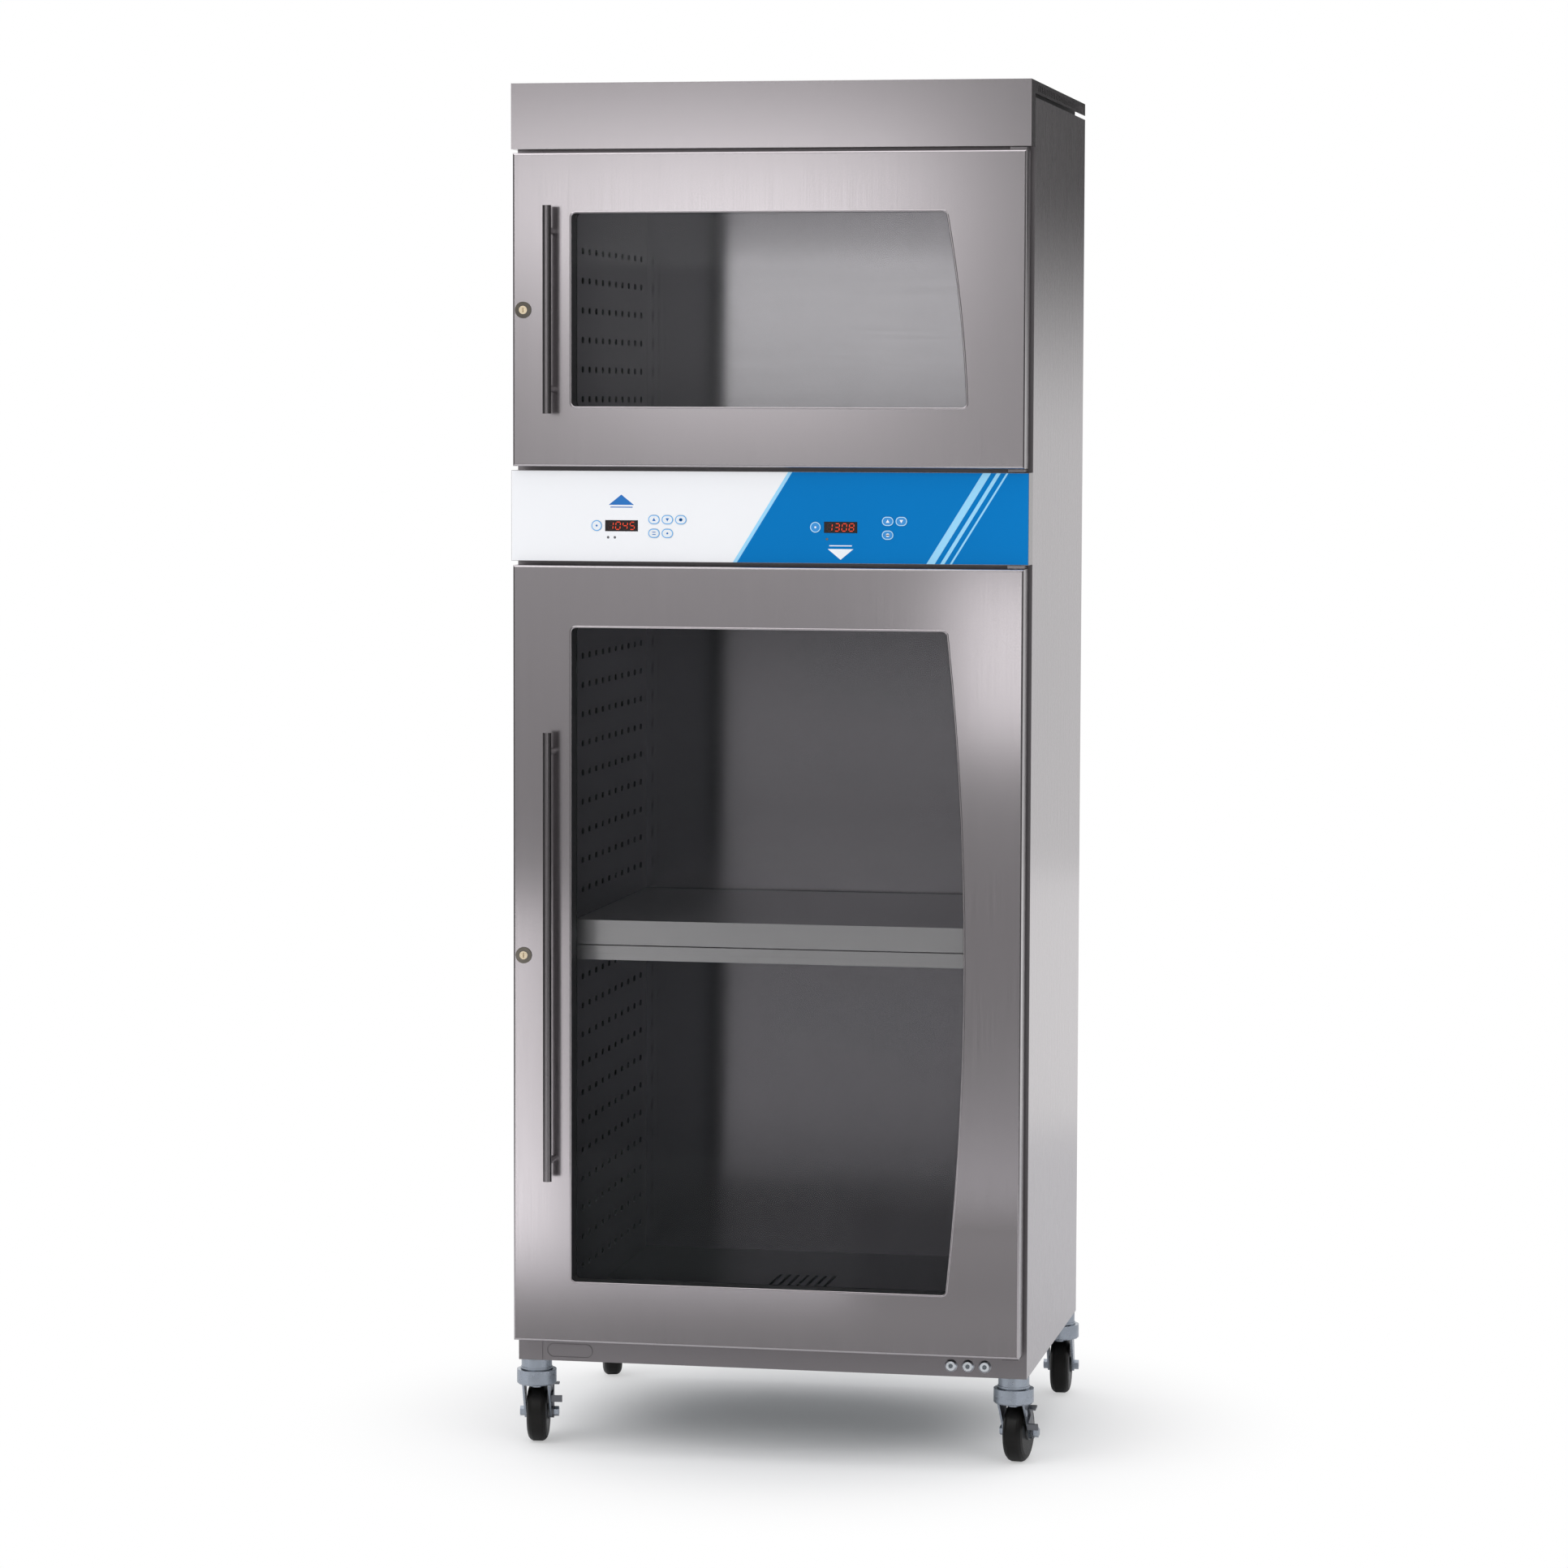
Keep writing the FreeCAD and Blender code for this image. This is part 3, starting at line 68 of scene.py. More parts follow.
# Soft boxes: name, centre, the point it faces, size, power in watts.
SOFT_BOXES = (
    ("key_light", (-3.2, -3.7, 3.95), (0.0, 0.0, 1.0), (4.1, 4.1), 97.0),
    ("fill_light", (3.2, -3.0, 2.2), (0.0, 0.0, 0.9), (2.7, 3.2), 27.0),
    ("top_light", (0.0, -0.4, 4.4), (0.0, 0.0, 1.0), (3.0, 2.6), 32.0),
    ("chamber_light", (-0.58, -3.1, 1.74), (0.0, 0.0, 1.70), (0.62, 0.40), 0.78),
    ("header_light", (-0.70, -3.1, 1.97), (-0.10, 0.0, 1.86), (1.20, 0.28), 1.7),
    ("strip_right", (0.20, -1.45, 1.13), (0.20, 0.0, 1.13), (0.20, 0.30), 0.28),
    ("strip_left", (-0.66, -1.45, 0.40), (-0.66, 0.0, 0.40), (0.16, 0.60), 0.45),
)
# Cards that show only in reflections: name, x, y and z ranges, two heights, and the brightness at each.
CARDS = (
    ("card_front", (-2.4, 1.6), (-3.2, -3.2), (0.0, 1.6), (0.3, 1.5), (0.30, 0.52)),
    ("card_front_top", (-2.4, 1.6), (-3.2, -3.2), (1.6, 2.8), (1.6, 2.1), (0.52, 0.38)),
    ("card_low", (-0.9, 0.6), (-0.90, -0.90), (0.0, 0.14), (0.0, 0.14), (0.20, 0.46)),
    ("card_low_left", (-0.9, -0.30), (-0.92, -0.92), (0.0, 0.14), (0.0, 0.14), (0.20, 0.62)),
    ("card_low_right", (0.02, 0.6), (-0.94, -0.94), (0.0, 0.28), (0.02, 0.28), (0.155, 0.50)),
    ("card_left", (-2.6, -2.6), (-5.0, 1.0), (0.0, 3.3), (0.0, 3.3), (0.10, 0.10)),
    ("card_right", (2.4, 2.4), (-5.0, 0.4), (0.0, 2.8), (0.0, 2.8), (0.10, 0.10)),
    ("card_back", (0.45, 1.90), (2.6, 2.6), (0.60, 3.20), (1.45, 2.00), (0.76, 0.03)),
)

# ---- Colours (linear) ------------------------------------------------------------------------
STEEL = (0.430, 0.402, 0.418)
# Both liners are one steel. The upper one is made lighter (painted light) and the lower one darker
# (painted shade).
UPPER_LINER_PAINTED_LIGHT = (0.950, 0.925, 0.965)
LOWER_LINER_PAINTED_SHADE = (0.330, 0.316, 0.338)
# The duct panels are stainless steel made almost black: painted shade of the chambers' side walls.
# DIM_EDGE keeps that painted shade dark at flat angles.
DUCT_PAINTED_SHADE = (0.115, 0.110, 0.124)
SHELF_STEEL = (0.600, 0.590, 0.600)
DIM_EDGE = (0.700, 0.700, 0.700, 1.0)      # keeps a dark sheet dark when it is seen at a flat angle
# DARK_EDGE keeps the painted shade behind the duct slots dark at flat angles.
DARK_EDGE = (0.1, 0.1, 0.1, 1.0)
GALVANISED = (0.420, 0.440, 0.450)
ZINC = (0.400, 0.440, 0.500)
CHROME = (0.900, 0.940, 0.980)
# The lock's chrome is made nearly black: a painted dark reflection on the collar.
LOCK_PAINTED_REFLECTION = (0.120, 0.110, 0.095)
# The breaker buttons are chrome made dark: painted shade of the hole in each bezel.
BUTTON_PAINTED_SHADE = (0.220, 0.245, 0.270)
LEVER_STEEL = (0.180, 0.185, 0.200)
HEATER_METAL = (0.20, 0.19, 0.18)
BRASS = (0.780, 0.660, 0.470)
FILM_WHITE = (0.830, 0.835, 0.850)
FILM_BLUE = (0.000, 0.170, 0.480)
FILM_PALE_BLUE = (0.300, 0.620, 0.850)
INK_BLUE = (0.00, 0.14, 0.46)
INK_WHITE = (0.80, 0.82, 0.85)
KEY_WHITE = (0.74, 0.77, 0.80)
KEY_BLUE = (0.02, 0.24, 0.60)
RING_BLUE = (0.10, 0.40, 0.78)
RING_PALE_BLUE = (0.42, 0.68, 0.90)
RUBBER_BLACK = (0.012, 0.012, 0.013)
TREAD_BLACK = (0.006, 0.0055, 0.005)
HUB_GREY = (0.100, 0.102, 0.108)
MOTOR_BLACK = (0.045, 0.045, 0.048)
BOARD_GREEN = (0.015, 0.070, 0.030)
WOOL_YELLOW = (0.62, 0.55, 0.28)
DISPLAY_RED = (1.000, 0.060, 0.010)
DISPLAY_BLACK = (0.010, 0.006, 0.006)
UNLIT_RED = (0.035, 0.006, 0.005)
LAMP_GREY = (0.12, 0.12, 0.13)
GLASS_TINT = (0.020, 0.024, 0.026)
GLASS_ALPHA = 0.06
GLASS_IOR = 1.5


# ---- Shader helpers --------------------------------------------------------------------------
NOISE_MIDDLE = (0.3, 0.7)      # most of a noise's values lie in this range
SHEET_DEPTH = 0.0002           # height of the brushed grain's relief
GRAIN_DEPTH = 0.0001           # height of the relief of plated, moulded and printed surfaces
SPREAD_AXIS = (0.05, 0.30, 1.0)    # level grain spreads a reflection upright; no wall faces this way
# Noises of brushed sheet: their scale across and along the grain, or in all directions.
STREAK_SCALES = (900.0, 9.0)
BAND_SCALES = (120.0, 2.0)
CLOUD_SCALE = 3.0
SPECK_SCALE = 420.0
# Shares of those noises: streaks and bands in the grain; grain, specks and clouds in the colour.
STREAK_SHARE, BAND_SHARE = 0.8, 0.2
GRAIN_SHARE, SPECK_SHARE, CLOUD_SHARE = 0.2, 0.6, 0.2


class Shader:
    """A material with one Principled shader, and short ways to add and link nodes."""

    def __init__(self, name, colour=None, metallic=0.0, roughness=0.5, **sockets):
        self.material = bpy.data.materials.new(name)
        self.material.use_nodes = True
        self.tree = self.material.node_tree
        self.shader = self.tree.nodes["Principled BSDF"]
        self.set("Metallic", metallic)
        self.set("Roughness", roughness)
        if colour:
            self.set("Base Color", (*colour, 1.0))
        for socket, value in sockets.items():
            self.set(socket.replace("_", " "), value)

    def set(self, socket, value):
        self.shader.inputs[socket].default_value = value

    def add(self, kind, **settings):
        node = self.tree.nodes.new(kind)
        for name, value in settings.items():
            setattr(node, name, value)
        return node

    def link(self, output, target):
        self.tree.links.new(output, target)

    def into(self, socket, output):
        self.link(output, self.shader.inputs[socket])

    def place(self, stretch=(1.0, 1.0, 1.0)):
        """The piece's own coordinates, stretched."""
        coordinates = self.add("ShaderNodeTexCoord")
        mapping = self.add("ShaderNodeMapping")
        mapping.inputs["Scale"].default_value = stretch
        self.link(coordinates.outputs["Object"], mapping.inputs["Vector"])
        return mapping.outputs["Vector"]

    def noise(self, scale, stretch=(1.0, 1.0, 1.0), detail=3.0, roughness=0.55):
        node = self.add("ShaderNodeTexNoise")
        node.inputs["Scale"].default_value = scale
        node.inputs["Detail"].default_value = detail
        node.inputs["Roughness"].default_value = roughness
        self.link(self.place(stretch), node.inputs["Vector"])
        return node.outputs["Fac"]

    def spread(self, value, low=0.0, high=1.0):
        """Maps the middle of a noise's range to low..high."""
        return self.ramp(value, NOISE_MIDDLE, (low, high))

    def ramp(self, value, from_range, to_range=(0.0, 1.0), **settings):
        node = self.add("ShaderNodeMapRange", **settings)
        for socket, limit in zip(("From Min", "From Max", "To Min", "To Max"), (*from_range, *to_range)):
            node.inputs[socket].default_value = limit
        self.link(value, node.inputs["Value"])
        return node.outputs["Result"]

    def axes(self):
        """The piece's own x, y and z."""
        separate = self.add("ShaderNodeSeparateXYZ")
        self.link(self.place(), separate.inputs["Vector"])
        return separate.outputs

    def math(self, operation, first, second):
        node = self.add("ShaderNodeMath", operation=operation)
        for socket, value in zip(node.inputs, (first, second)):
            if isinstance(value, (int, float)):
                socket.default_value = value
            else:
                self.link(value, socket)
        return node.outputs["Value"]

    def weighted(self, first, first_share, second, second_share):
        """Sum of two values, each times its share."""
        return self.math("ADD", self.math("MULTIPLY", first, first_share),
                         self.math("MULTIPLY", second, second_share))

    def mix(self, factor, first, second):
        """Mixes two colours, given as outputs or tuples."""
        node = self.add("ShaderNodeMix", data_type="RGBA")
        self.link(factor, node.inputs["Factor"])
        for socket, value in ((node.inputs["A"], first), (node.inputs["B"], second)):
            if isinstance(value, tuple):
                socket.default_value = (*value, 1.0)
            else:
                self.link(value, socket)
        return node.outputs["Result"]

    def bump(self, height, strength, distance):
        node = self.add("ShaderNodeBump")
        node.inputs["Strength"].default_value = strength
        node.inputs["Distance"].default_value = distance
        self.link(height, node.inputs["Height"])
        self.into("Normal", node.outputs["Normal"])


def darker(colour, share):
    return tuple(channel * share for channel in colour)


def along_grain(axis, scales):
    """Stretch of a noise that is fine across an axis and long along it."""
    across, along = scales
    stretch = [across, across, across]
    stretch[axis] = along
    return tuple(stretch)


def brushed(name, colour, roughness, grain, tone=0.035, relief=0.05, **sockets):
    """Satin sheet: streaks along one axis in colour, roughness and relief, with specks and slow clouds."""
    shader = Shader(name, metallic=1.0, **sockets)
    streaks = shader.noise(scale=1.0, stretch=along_grain(grain, STREAK_SCALES), detail=2.0)
    bands = shader.noise(scale=1.0, stretch=along_grain(grain, BAND_SCALES), detail=4.0)
    cloud = shader.noise(CLOUD_SCALE, detail=2.0)
    specks = shader.noise(SPECK_SCALE, detail=2.0)
    both = shader.weighted(streaks, STREAK_SHARE, bands, BAND_SHARE)
    mottling = shader.weighted(specks, SPECK_SHARE, cloud, CLOUD_SHARE)
    shade = shader.math("ADD", shader.math("MULTIPLY", both, GRAIN_SHARE), mottling)
    low = darker(colour, 1.0 - tone)
    high = darker(colour, 1.0 + tone)
    shader.into("Base Color", shader.mix(shader.spread(shade), low, high))
    shader.into("Roughness", shader.spread(both, low=roughness - 0.015, high=roughness + 0.02))
    if relief:
        shader.bump(both, relief, SHEET_DEPTH)
    if "Anisotropic" in sockets:
        upright = shader.add("ShaderNodeCombineXYZ")
        for axis, value in zip(("X", "Y", "Z"), SPREAD_AXIS):
            upright.inputs[axis].default_value = value
        shader.into("Tangent", upright.outputs["Vector"])
    return shader.material


def plated(name, colour, roughness, spots=60.0, tone=0.08):
    """Bright plated steel with faint clouding."""
    shader = Shader(name, metallic=1.0)
    cloud = shader.noise(spots, detail=4.0)
    fine = shader.noise(spots * 12, detail=2.0)
    shader.into("Base Color", shader.mix(shader.spread(cloud), darker(colour, 1.0 - tone), colour))
    shader.into("Roughness", shader.spread(cloud, low=roughness * 0.8, high=roughness * 1.3))
    shader.bump(fine, strength=0.06, distance=GRAIN_DEPTH)
    return shader.material


def moulded(name, colour, roughness, grain=900.0, relief=0.15, tone=0.12, **sockets):
    """Moulded plastic or rubber with a fine spark-eroded grain."""
    shader = Shader(name, **sockets)
    fine = shader.noise(grain, detail=3.0)
    cloud = shader.noise(scale=25.0, detail=3.0)
    low = darker(colour, 1.0 - tone)
    high = darker(colour, 1.0 + tone)
    shader.into("Base Color", shader.mix(shader.spread(cloud), low, high))
    shader.into("Roughness", shader.spread(fine, low=roughness - 0.06, high=roughness + 0.08))
    shader.bump(fine, relief, GRAIN_DEPTH)
    return shader.material


def glass_material():
    """Clear pane that lets light in; plain Principled, mostly see-through."""
    shader = Shader("pane_glass", GLASS_TINT, roughness=0.02, Alpha=GLASS_ALPHA, IOR=GLASS_IOR)
    smear = shader.noise(scale=7.0, detail=4.0)
    shader.into("Roughness", shader.spread(smear, low=0.015, high=0.05))
    return shader.material


def glowing(name, colour, strength):
    """Lit segment on the dark face of a display."""
    shader = Shader(name, darker(colour, 0.4), roughness=0.35)
    shader.set("Emission Color", (*colour, 1.0))
    shader.set("Emission Strength", strength)
    grain = shader.noise(scale=2500.0, detail=1.0)
    shader.into("Roughness", shader.spread(grain, low=0.3, high=0.45))
    return shader.material


# The film's blue field, measured at the film's foot: its slanted edge, the line along it and three bars.
FIELD_SLANT = 0.62             # metres to the right for each metre up
FIELD_EDGE = -0.052
EDGE_LINE_WIDTH = 0.006
BAR_FOOT = 0.232
BARS = ((0.0, 0.012), (0.020, 0.006), (0.034, 0.003))      # start after the first bar's foot, and width


def printed_panel():
    """White film with a blue field to the right of a slanted edge, a pale line along it and pale bars."""
    low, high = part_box("control_overlay")
    shader = Shader("printed_film", roughness=0.35, Specular_IOR_Level=0.06)
    axes = shader.axes()
    height = shader.math("SUBTRACT", axes["Z"], low.z)
    across = shader.math("SUBTRACT", axes["X"], shader.math("MULTIPLY", height, FIELD_SLANT))

    def beyond(limit):
        return shader.math("GREATER_THAN", across, limit)

    tint = shader.noise(scale=2.2, detail=2.0)
    fine = shader.noise(scale=1600.0, detail=2.0)
    white = shader.mix(shader.spread(tint), darker(FILM_WHITE, 0.97), FILM_WHITE)
    blue = shader.mix(shader.spread(tint), darker(FILM_BLUE, 0.92), darker(FILM_BLUE, 1.05))
    colour = shader.mix(beyond(FIELD_EDGE), white, FILM_PALE_BLUE)
    colour = shader.mix(beyond(FIELD_EDGE + EDGE_LINE_WIDTH), colour, blue)
    for start, width in BARS:
        colour = shader.mix(beyond(BAR_FOOT + start), colour, FILM_PALE_BLUE)
        colour = shader.mix(beyond(BAR_FOOT + start + width), colour, blue)
    shader.into("Base Color", colour)
    shader.into("Roughness", shader.spread(fine, low=0.28, high=0.40))
    shader.bump(fine, strength=0.05, distance=GRAIN_DEPTH)
    return shader.material


# ---- Materials -------------------------------------------------------------------------------
X, Z = 0, 2                    # axes that a brushed grain runs along
steel_front = brushed("steel_front", STEEL, 0.20, Z, tone=0.05)
steel_side = brushed("steel_side", STEEL, 0.27, Z, tone=0.02, relief=0.012)
steel_rail = brushed("steel_rail", darker(STEEL, 0.66), 0.27, Z, tone=0.02, relief=0.03)
# Front frame, base rail and the faces behind the door gaps: darker, rougher steel, which is painted shade
# for the gaps.
frame_steel_painted_shade = brushed("frame_steel_painted_shade", darker(STEEL, 0.60), 0.42, Z, tone=0.02, relief=0.0)
# Darker steel for the rail's recessed groove: painted shade.
groove_painted_shade = brushed("groove_painted_shade", darker(STEEL, 0.45), 0.35, Z, tone=0.02)
steel_shelf = brushed("steel_shelf", SHELF_STEEL, 0.34, X, tone=0.03)
# Liners: a lighter copy of the steel in the upper chamber is painted light, and a darker copy in the lower
# chamber is painted shade.
upper_liner_painted_light = brushed("upper_liner_painted_light", UPPER_LINER_PAINTED_LIGHT, 0.18, X, tone=0.03, relief=0.0,
                            Anisotropic=1.0)
lower_liner_painted_shade = brushed("lower_liner_painted_shade", LOWER_LINER_PAINTED_SHADE, 0.18, X, tone=0.03, relief=0.0,
                            Anisotropic=1.0)
# Duct panels: near-black steel, painted shade of the side walls.
duct_painted_shade = brushed("duct_painted_shade", DUCT_PAINTED_SHADE, 0.29, Z, tone=0.05, relief=0.0, Specular_Tint=DIM_EDGE)
# Near-black steel behind the duct slots: painted shade.
duct_back_painted_shade = brushed("duct_back_painted_shade", darker(DUCT_PAINTED_SHADE, 0.10), 0.45, Z, Specular_Tint=DARK_EDGE)
handle_steel = brushed("handle_steel", darker(STEEL, 0.55), 0.25, Z, tone=0.05)
galvanised = plated("galvanised", GALVANISED, 0.45, spots=35.0, tone=0.20)
zinc = plated("zinc_plate", ZINC, 0.26, spots=40.0, tone=0.22)
chrome = plated("chrome_plate", CHROME, 0.30)
brass = plated("brass_plug", BRASS, 0.28, spots=120.0)
# Lock barrel: chrome darkened as a painted dark reflection.
lock_painted_reflection = plated("lock_painted_reflection", LOCK_PAINTED_REFLECTION, 0.18)
# Breaker buttons: darkened chrome, which is painted shade of the bezel's hole.
button_painted_shade = plated("button_metal_painted_shade", BUTTON_PAINTED_SHADE, 0.25)
lever_steel = plated("lever_steel", LEVER_STEEL, 0.38, spots=90.0)
heater_metal = plated("heater_metal", HEATER_METAL, 0.50)
seal_rubber = moulded("seal_rubber", RUBBER_BLACK, 0.55)
tread_rubber = moulded("tread_rubber", TREAD_BLACK, 0.38, grain=500.0, Specular_IOR_Level=0.22)
hub_plastic = moulded("hub_plastic", HUB_GREY, 0.42)
black_plastic = moulded("black_plastic", RUBBER_BLACK, 0.40)
key_white = moulded("key_white", KEY_WHITE, 0.38, relief=0.08, tone=0.04)
key_blue = moulded("key_blue", KEY_BLUE, 0.38, relief=0.08, tone=0.04)
ring_blue = moulded("key_ring", RING_BLUE, 0.40, relief=0.05, tone=0.05)
ring_pale_blue = moulded("key_ring_pale", RING_PALE_BLUE, 0.40, relief=0.05, tone=0.05)
ink_blue = moulded("print_blue", INK_BLUE, 0.40, relief=0.05, tone=0.06)
ink_white = moulded("print_white", INK_WHITE, 0.40, relief=0.05, tone=0.04)
board_green = moulded("board_green", BOARD_GREEN, 0.45, grain=300.0)
display_glass = moulded("display_glass", DISPLAY_BLACK, 0.14, relief=0.02)
segment_lit = glowing("segment_lit", DISPLAY_RED, 0.60)
segment_unlit = moulded("segment_dark", UNLIT_RED, 0.30)
lamp_grey = moulded("lamp_grey", LAMP_GREY, 0.30)
wool = moulded("glass_wool", WOOL_YELLOW, 0.95, grain=400.0, relief=0.8)
motor_paint = moulded("motor_paint", MOTOR_BLACK, 0.45)
pane_glass = glass_material()
panel_film = printed_panel()

NODE_MATERIALS = {
    "outer_wrap": steel_side, "rear_panel": galvanised, "front_frame": frame_steel_painted_shade, "base_pan": galvanised,
    "top_cover": steel_front, "upper_liner": upper_liner_painted_light, "lower_liner": lower_liner_painted_shade,
    "upper_duct_panels": duct_painted_shade, "lower_duct_panels": duct_painted_shade, "insulation": wool,
    "shelf": steel_shelf, "shelf_support": steel_shelf, "control_tray": steel_rail,
    "control_overlay": panel_film, "control_boards": board_green, "heaters": heater_metal,
    "blower_motors": motor_paint, "hinge_brackets": handle_steel, "breaker_bodies": chrome,
    "power_inlet": black_plastic, "caster_stems": zinc,
    "upper_blower_wheel": galvanised, "lower_blower_wheel": galvanised,
}
NODE_ENDINGS = {
    "_door_shell": steel_front, "_door_glass": pane_glass, "_door_seals": seal_rubber,
    "_handle": handle_steel, "_lock_barrel": lock_painted_reflection, "_lock_plug": brass, "_fork": zinc,
    "_wheel": tread_rubber, "_brake_lever": lever_steel,
}
for node_name, node in nodes.items():
    chosen = NODE_MATERIALS.get(node_name)
    for ending, ending_material in NODE_ENDINGS.items():
        if node_name.endswith(ending):
            chosen = ending_material
    if node_name.startswith("breaker_button"):
        chosen = button_painted_shade
    if "_key" in node_name:
        chosen = key_white if node_name.startswith("left") else key_blue
    node.data.materials.clear()
    node.data.materials.append(chosen)


FACING = 0.9                   # least share of a normal along an axis that its face looks along
FACE_TOLERANCE = 0.0001
GROOVE_DEPTHS = (FACE_TOLERANCE, 0.0009)   # behind the base rail's face
GROOVE_HALF_HEIGHT = 0.012
GROOVE_RIGHT_END = -0.2
HUB_PAINT_RADIUS = 0.0125


def paint_faces(node, material, wanted):
    """Gives a second material to the faces of a CAD node whose centre and normal are wanted."""
    mesh = node.data
    mesh.materials.append(material)
    index = len(mesh.materials) - 1
    for polygon in mesh.polygons:
        if wanted(polygon.center, polygon.normal):
            polygon.material_index = index


# The wrap's narrow front posts get the front frame's darkened steel, which is painted shade like the
# frame's.
paint_faces(nodes["outer_wrap"], frame_steel_painted_shade, lambda centre, normal: normal.y < -FACING)

# The liners' side walls get a near-black steel: painted shade that shows as darkness behind the slots of
# the duct panels.
for liner in ("upper_liner", "lower_liner"):
    paint_faces(nodes[liner], duct_back_painted_shade, lambda centre, normal: abs(normal.x) > FACING)

# The stamped slot's groove in the base rail, at the level of the breakers, gets darker steel: painted
# shade in the recess.
rail_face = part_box("front_frame")[0].y
breaker_level = sum(corner.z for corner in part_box("breaker_button_1")) / 2


def in_groove(centre, normal):
    shallow, deep = GROOVE_DEPTHS
    at_depth = shallow < centre.y - rail_face < deep
    return at_depth and abs(centre.z - breaker_level) < GROOVE_HALF_HEIGHT and centre.x < GROOVE_RIGHT_END


paint_faces(nodes["front_frame"], groove_painted_shade, in_groove)

# Hubs: the wheels' faces close round their axles.
joints = {joint["name"]: joint for joint in frame["joints"]}
for corner in ("front_left", "front_right", "rear_left", "rear_right"):
    axle = joints[corner + "_axle"]
    axle_point = Vector(axle["pos_m"])
    axle_line = Vector(axle["axis"])

    def in_hub(centre, normal):
        arm = centre - axle_point
        return (arm - axle_line * arm.dot(axle_line)).length < HUB_PAINT_RADIUS

    paint_faces(nodes[corner + "_wheel"], hub_plastic, in_hub)


# ---- Mesh helpers ----------------------------------------------------------------------------
def new_piece(name, mesh_data, material, body):
    """A piece of one material that rides on a body."""
    piece = bpy.data.objects.new(name, mesh_data)
    bpy.context.scene.collection.objects.link(piece)
    piece.data.materials.append(material)
    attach(piece, body)
    return piece


def from_bmesh(name, build):
    """Mesh data of what build puts into an empty shape."""
    mesh_data = bpy.data.meshes.new(name)
    shape = bmesh.new()
    build(shape)
    bmesh.ops.recalc_face_normals(shape, faces=shape.faces)
    shape.to_mesh(mesh_data)
    shape.free()
    return mesh_data


def round_pairs(count):
    """Each index of a closed loop with the next one."""
    return [(i, (i + 1) % count) for i in range(count)]


def flat_prism(shape, outline, y_front, y_back):
    """A closed outline of (x, z) points, standing between two y planes."""
    front = [shape.verts.new((x, y_front, z)) for x, z in outline]
    back = [shape.verts.new((x, y_back, z)) for x, z in outline]
    shape.faces.new(front)
    shape.faces.new(list(reversed(back)))
    for i, j in round_pairs(len(outline)):
        shape.faces.new((front[i], back[i], back[j], front[j]))


def ring_prism(shape, outer, inner, y_front, y_back):
    """The band between two outlines with as many points each, standing between two y planes."""
    loops = [[shape.verts.new((x, y, z)) for x, z in outline]
             for outline in (outer, inner) for y in (y_front, y_back)]
    outer_front, outer_back, inner_front, inner_back = loops
    for i, j in round_pairs(len(outer)):
        shape.faces.new((outer_front[i], outer_front[j], inner_front[j], inner_front[i]))
        shape.faces.new((outer_back[j], outer_back[i], inner_back[i], inner_back[j]))
        shape.faces.new((outer_front[j], outer_front[i], outer_back[i], outer_back[j]))
        shape.faces.new((inner_front[i], inner_front[j], inner_back[j], inner_back[i]))


def stadium_outline(x, z, width, height, steps=10):
    """Points of a round-ended outline, which is a circle if width and height are the same."""
    radius = height / 2
    half = max(width / 2 - radius, 0.0)
    points = []
    for i in range(2 * steps):
        angle = -math.pi / 2 + math.pi * (i + 0.5) / steps
        side = 1 if i < steps else -1
        points.append((x + side * half + radius * math.cos(angle), z + radius * math.sin(angle)))
    return points


# ---- Duct panels with the full pattern of slots ----------------------------------------------
BODY_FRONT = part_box("outer_wrap")[0].y
BODY_MIDDLE = (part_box("outer_wrap")[0].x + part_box("outer_wrap")[1].x) / 2
CHAMBER_HALF = 0.300           # half of the clear width between the duct panels
SLOT_SIZE = (0.0170, 0.0100)
SLOT_ARC_STEPS = 4             # gives a slot eight points, two for each corner of its cell
SLOT_COLUMNS = 11
SLOT_COLUMN_PITCH = 0.0444
SLOT_ROW_PITCH = 0.0435
FIRST_COLUMN = 0.0270          # behind the body's front plane
FIRST_ROW_DROP = 0.0897        # under the chamber's top
LAST_ROW_RISE = 0.030          # least height of a row over the chamber's floor
DUCT_SHEET = 0.0012
DUCT_CLEARANCE = 0.0002
FLOOR_SLOTS = 7
FLOOR_SLOT_PITCH = 0.014
FLOOR_SLOT_WIDTH = 0.006
FLOOR_SLOT_REACH = 0.046       # from the blower's middle to the slots' ends


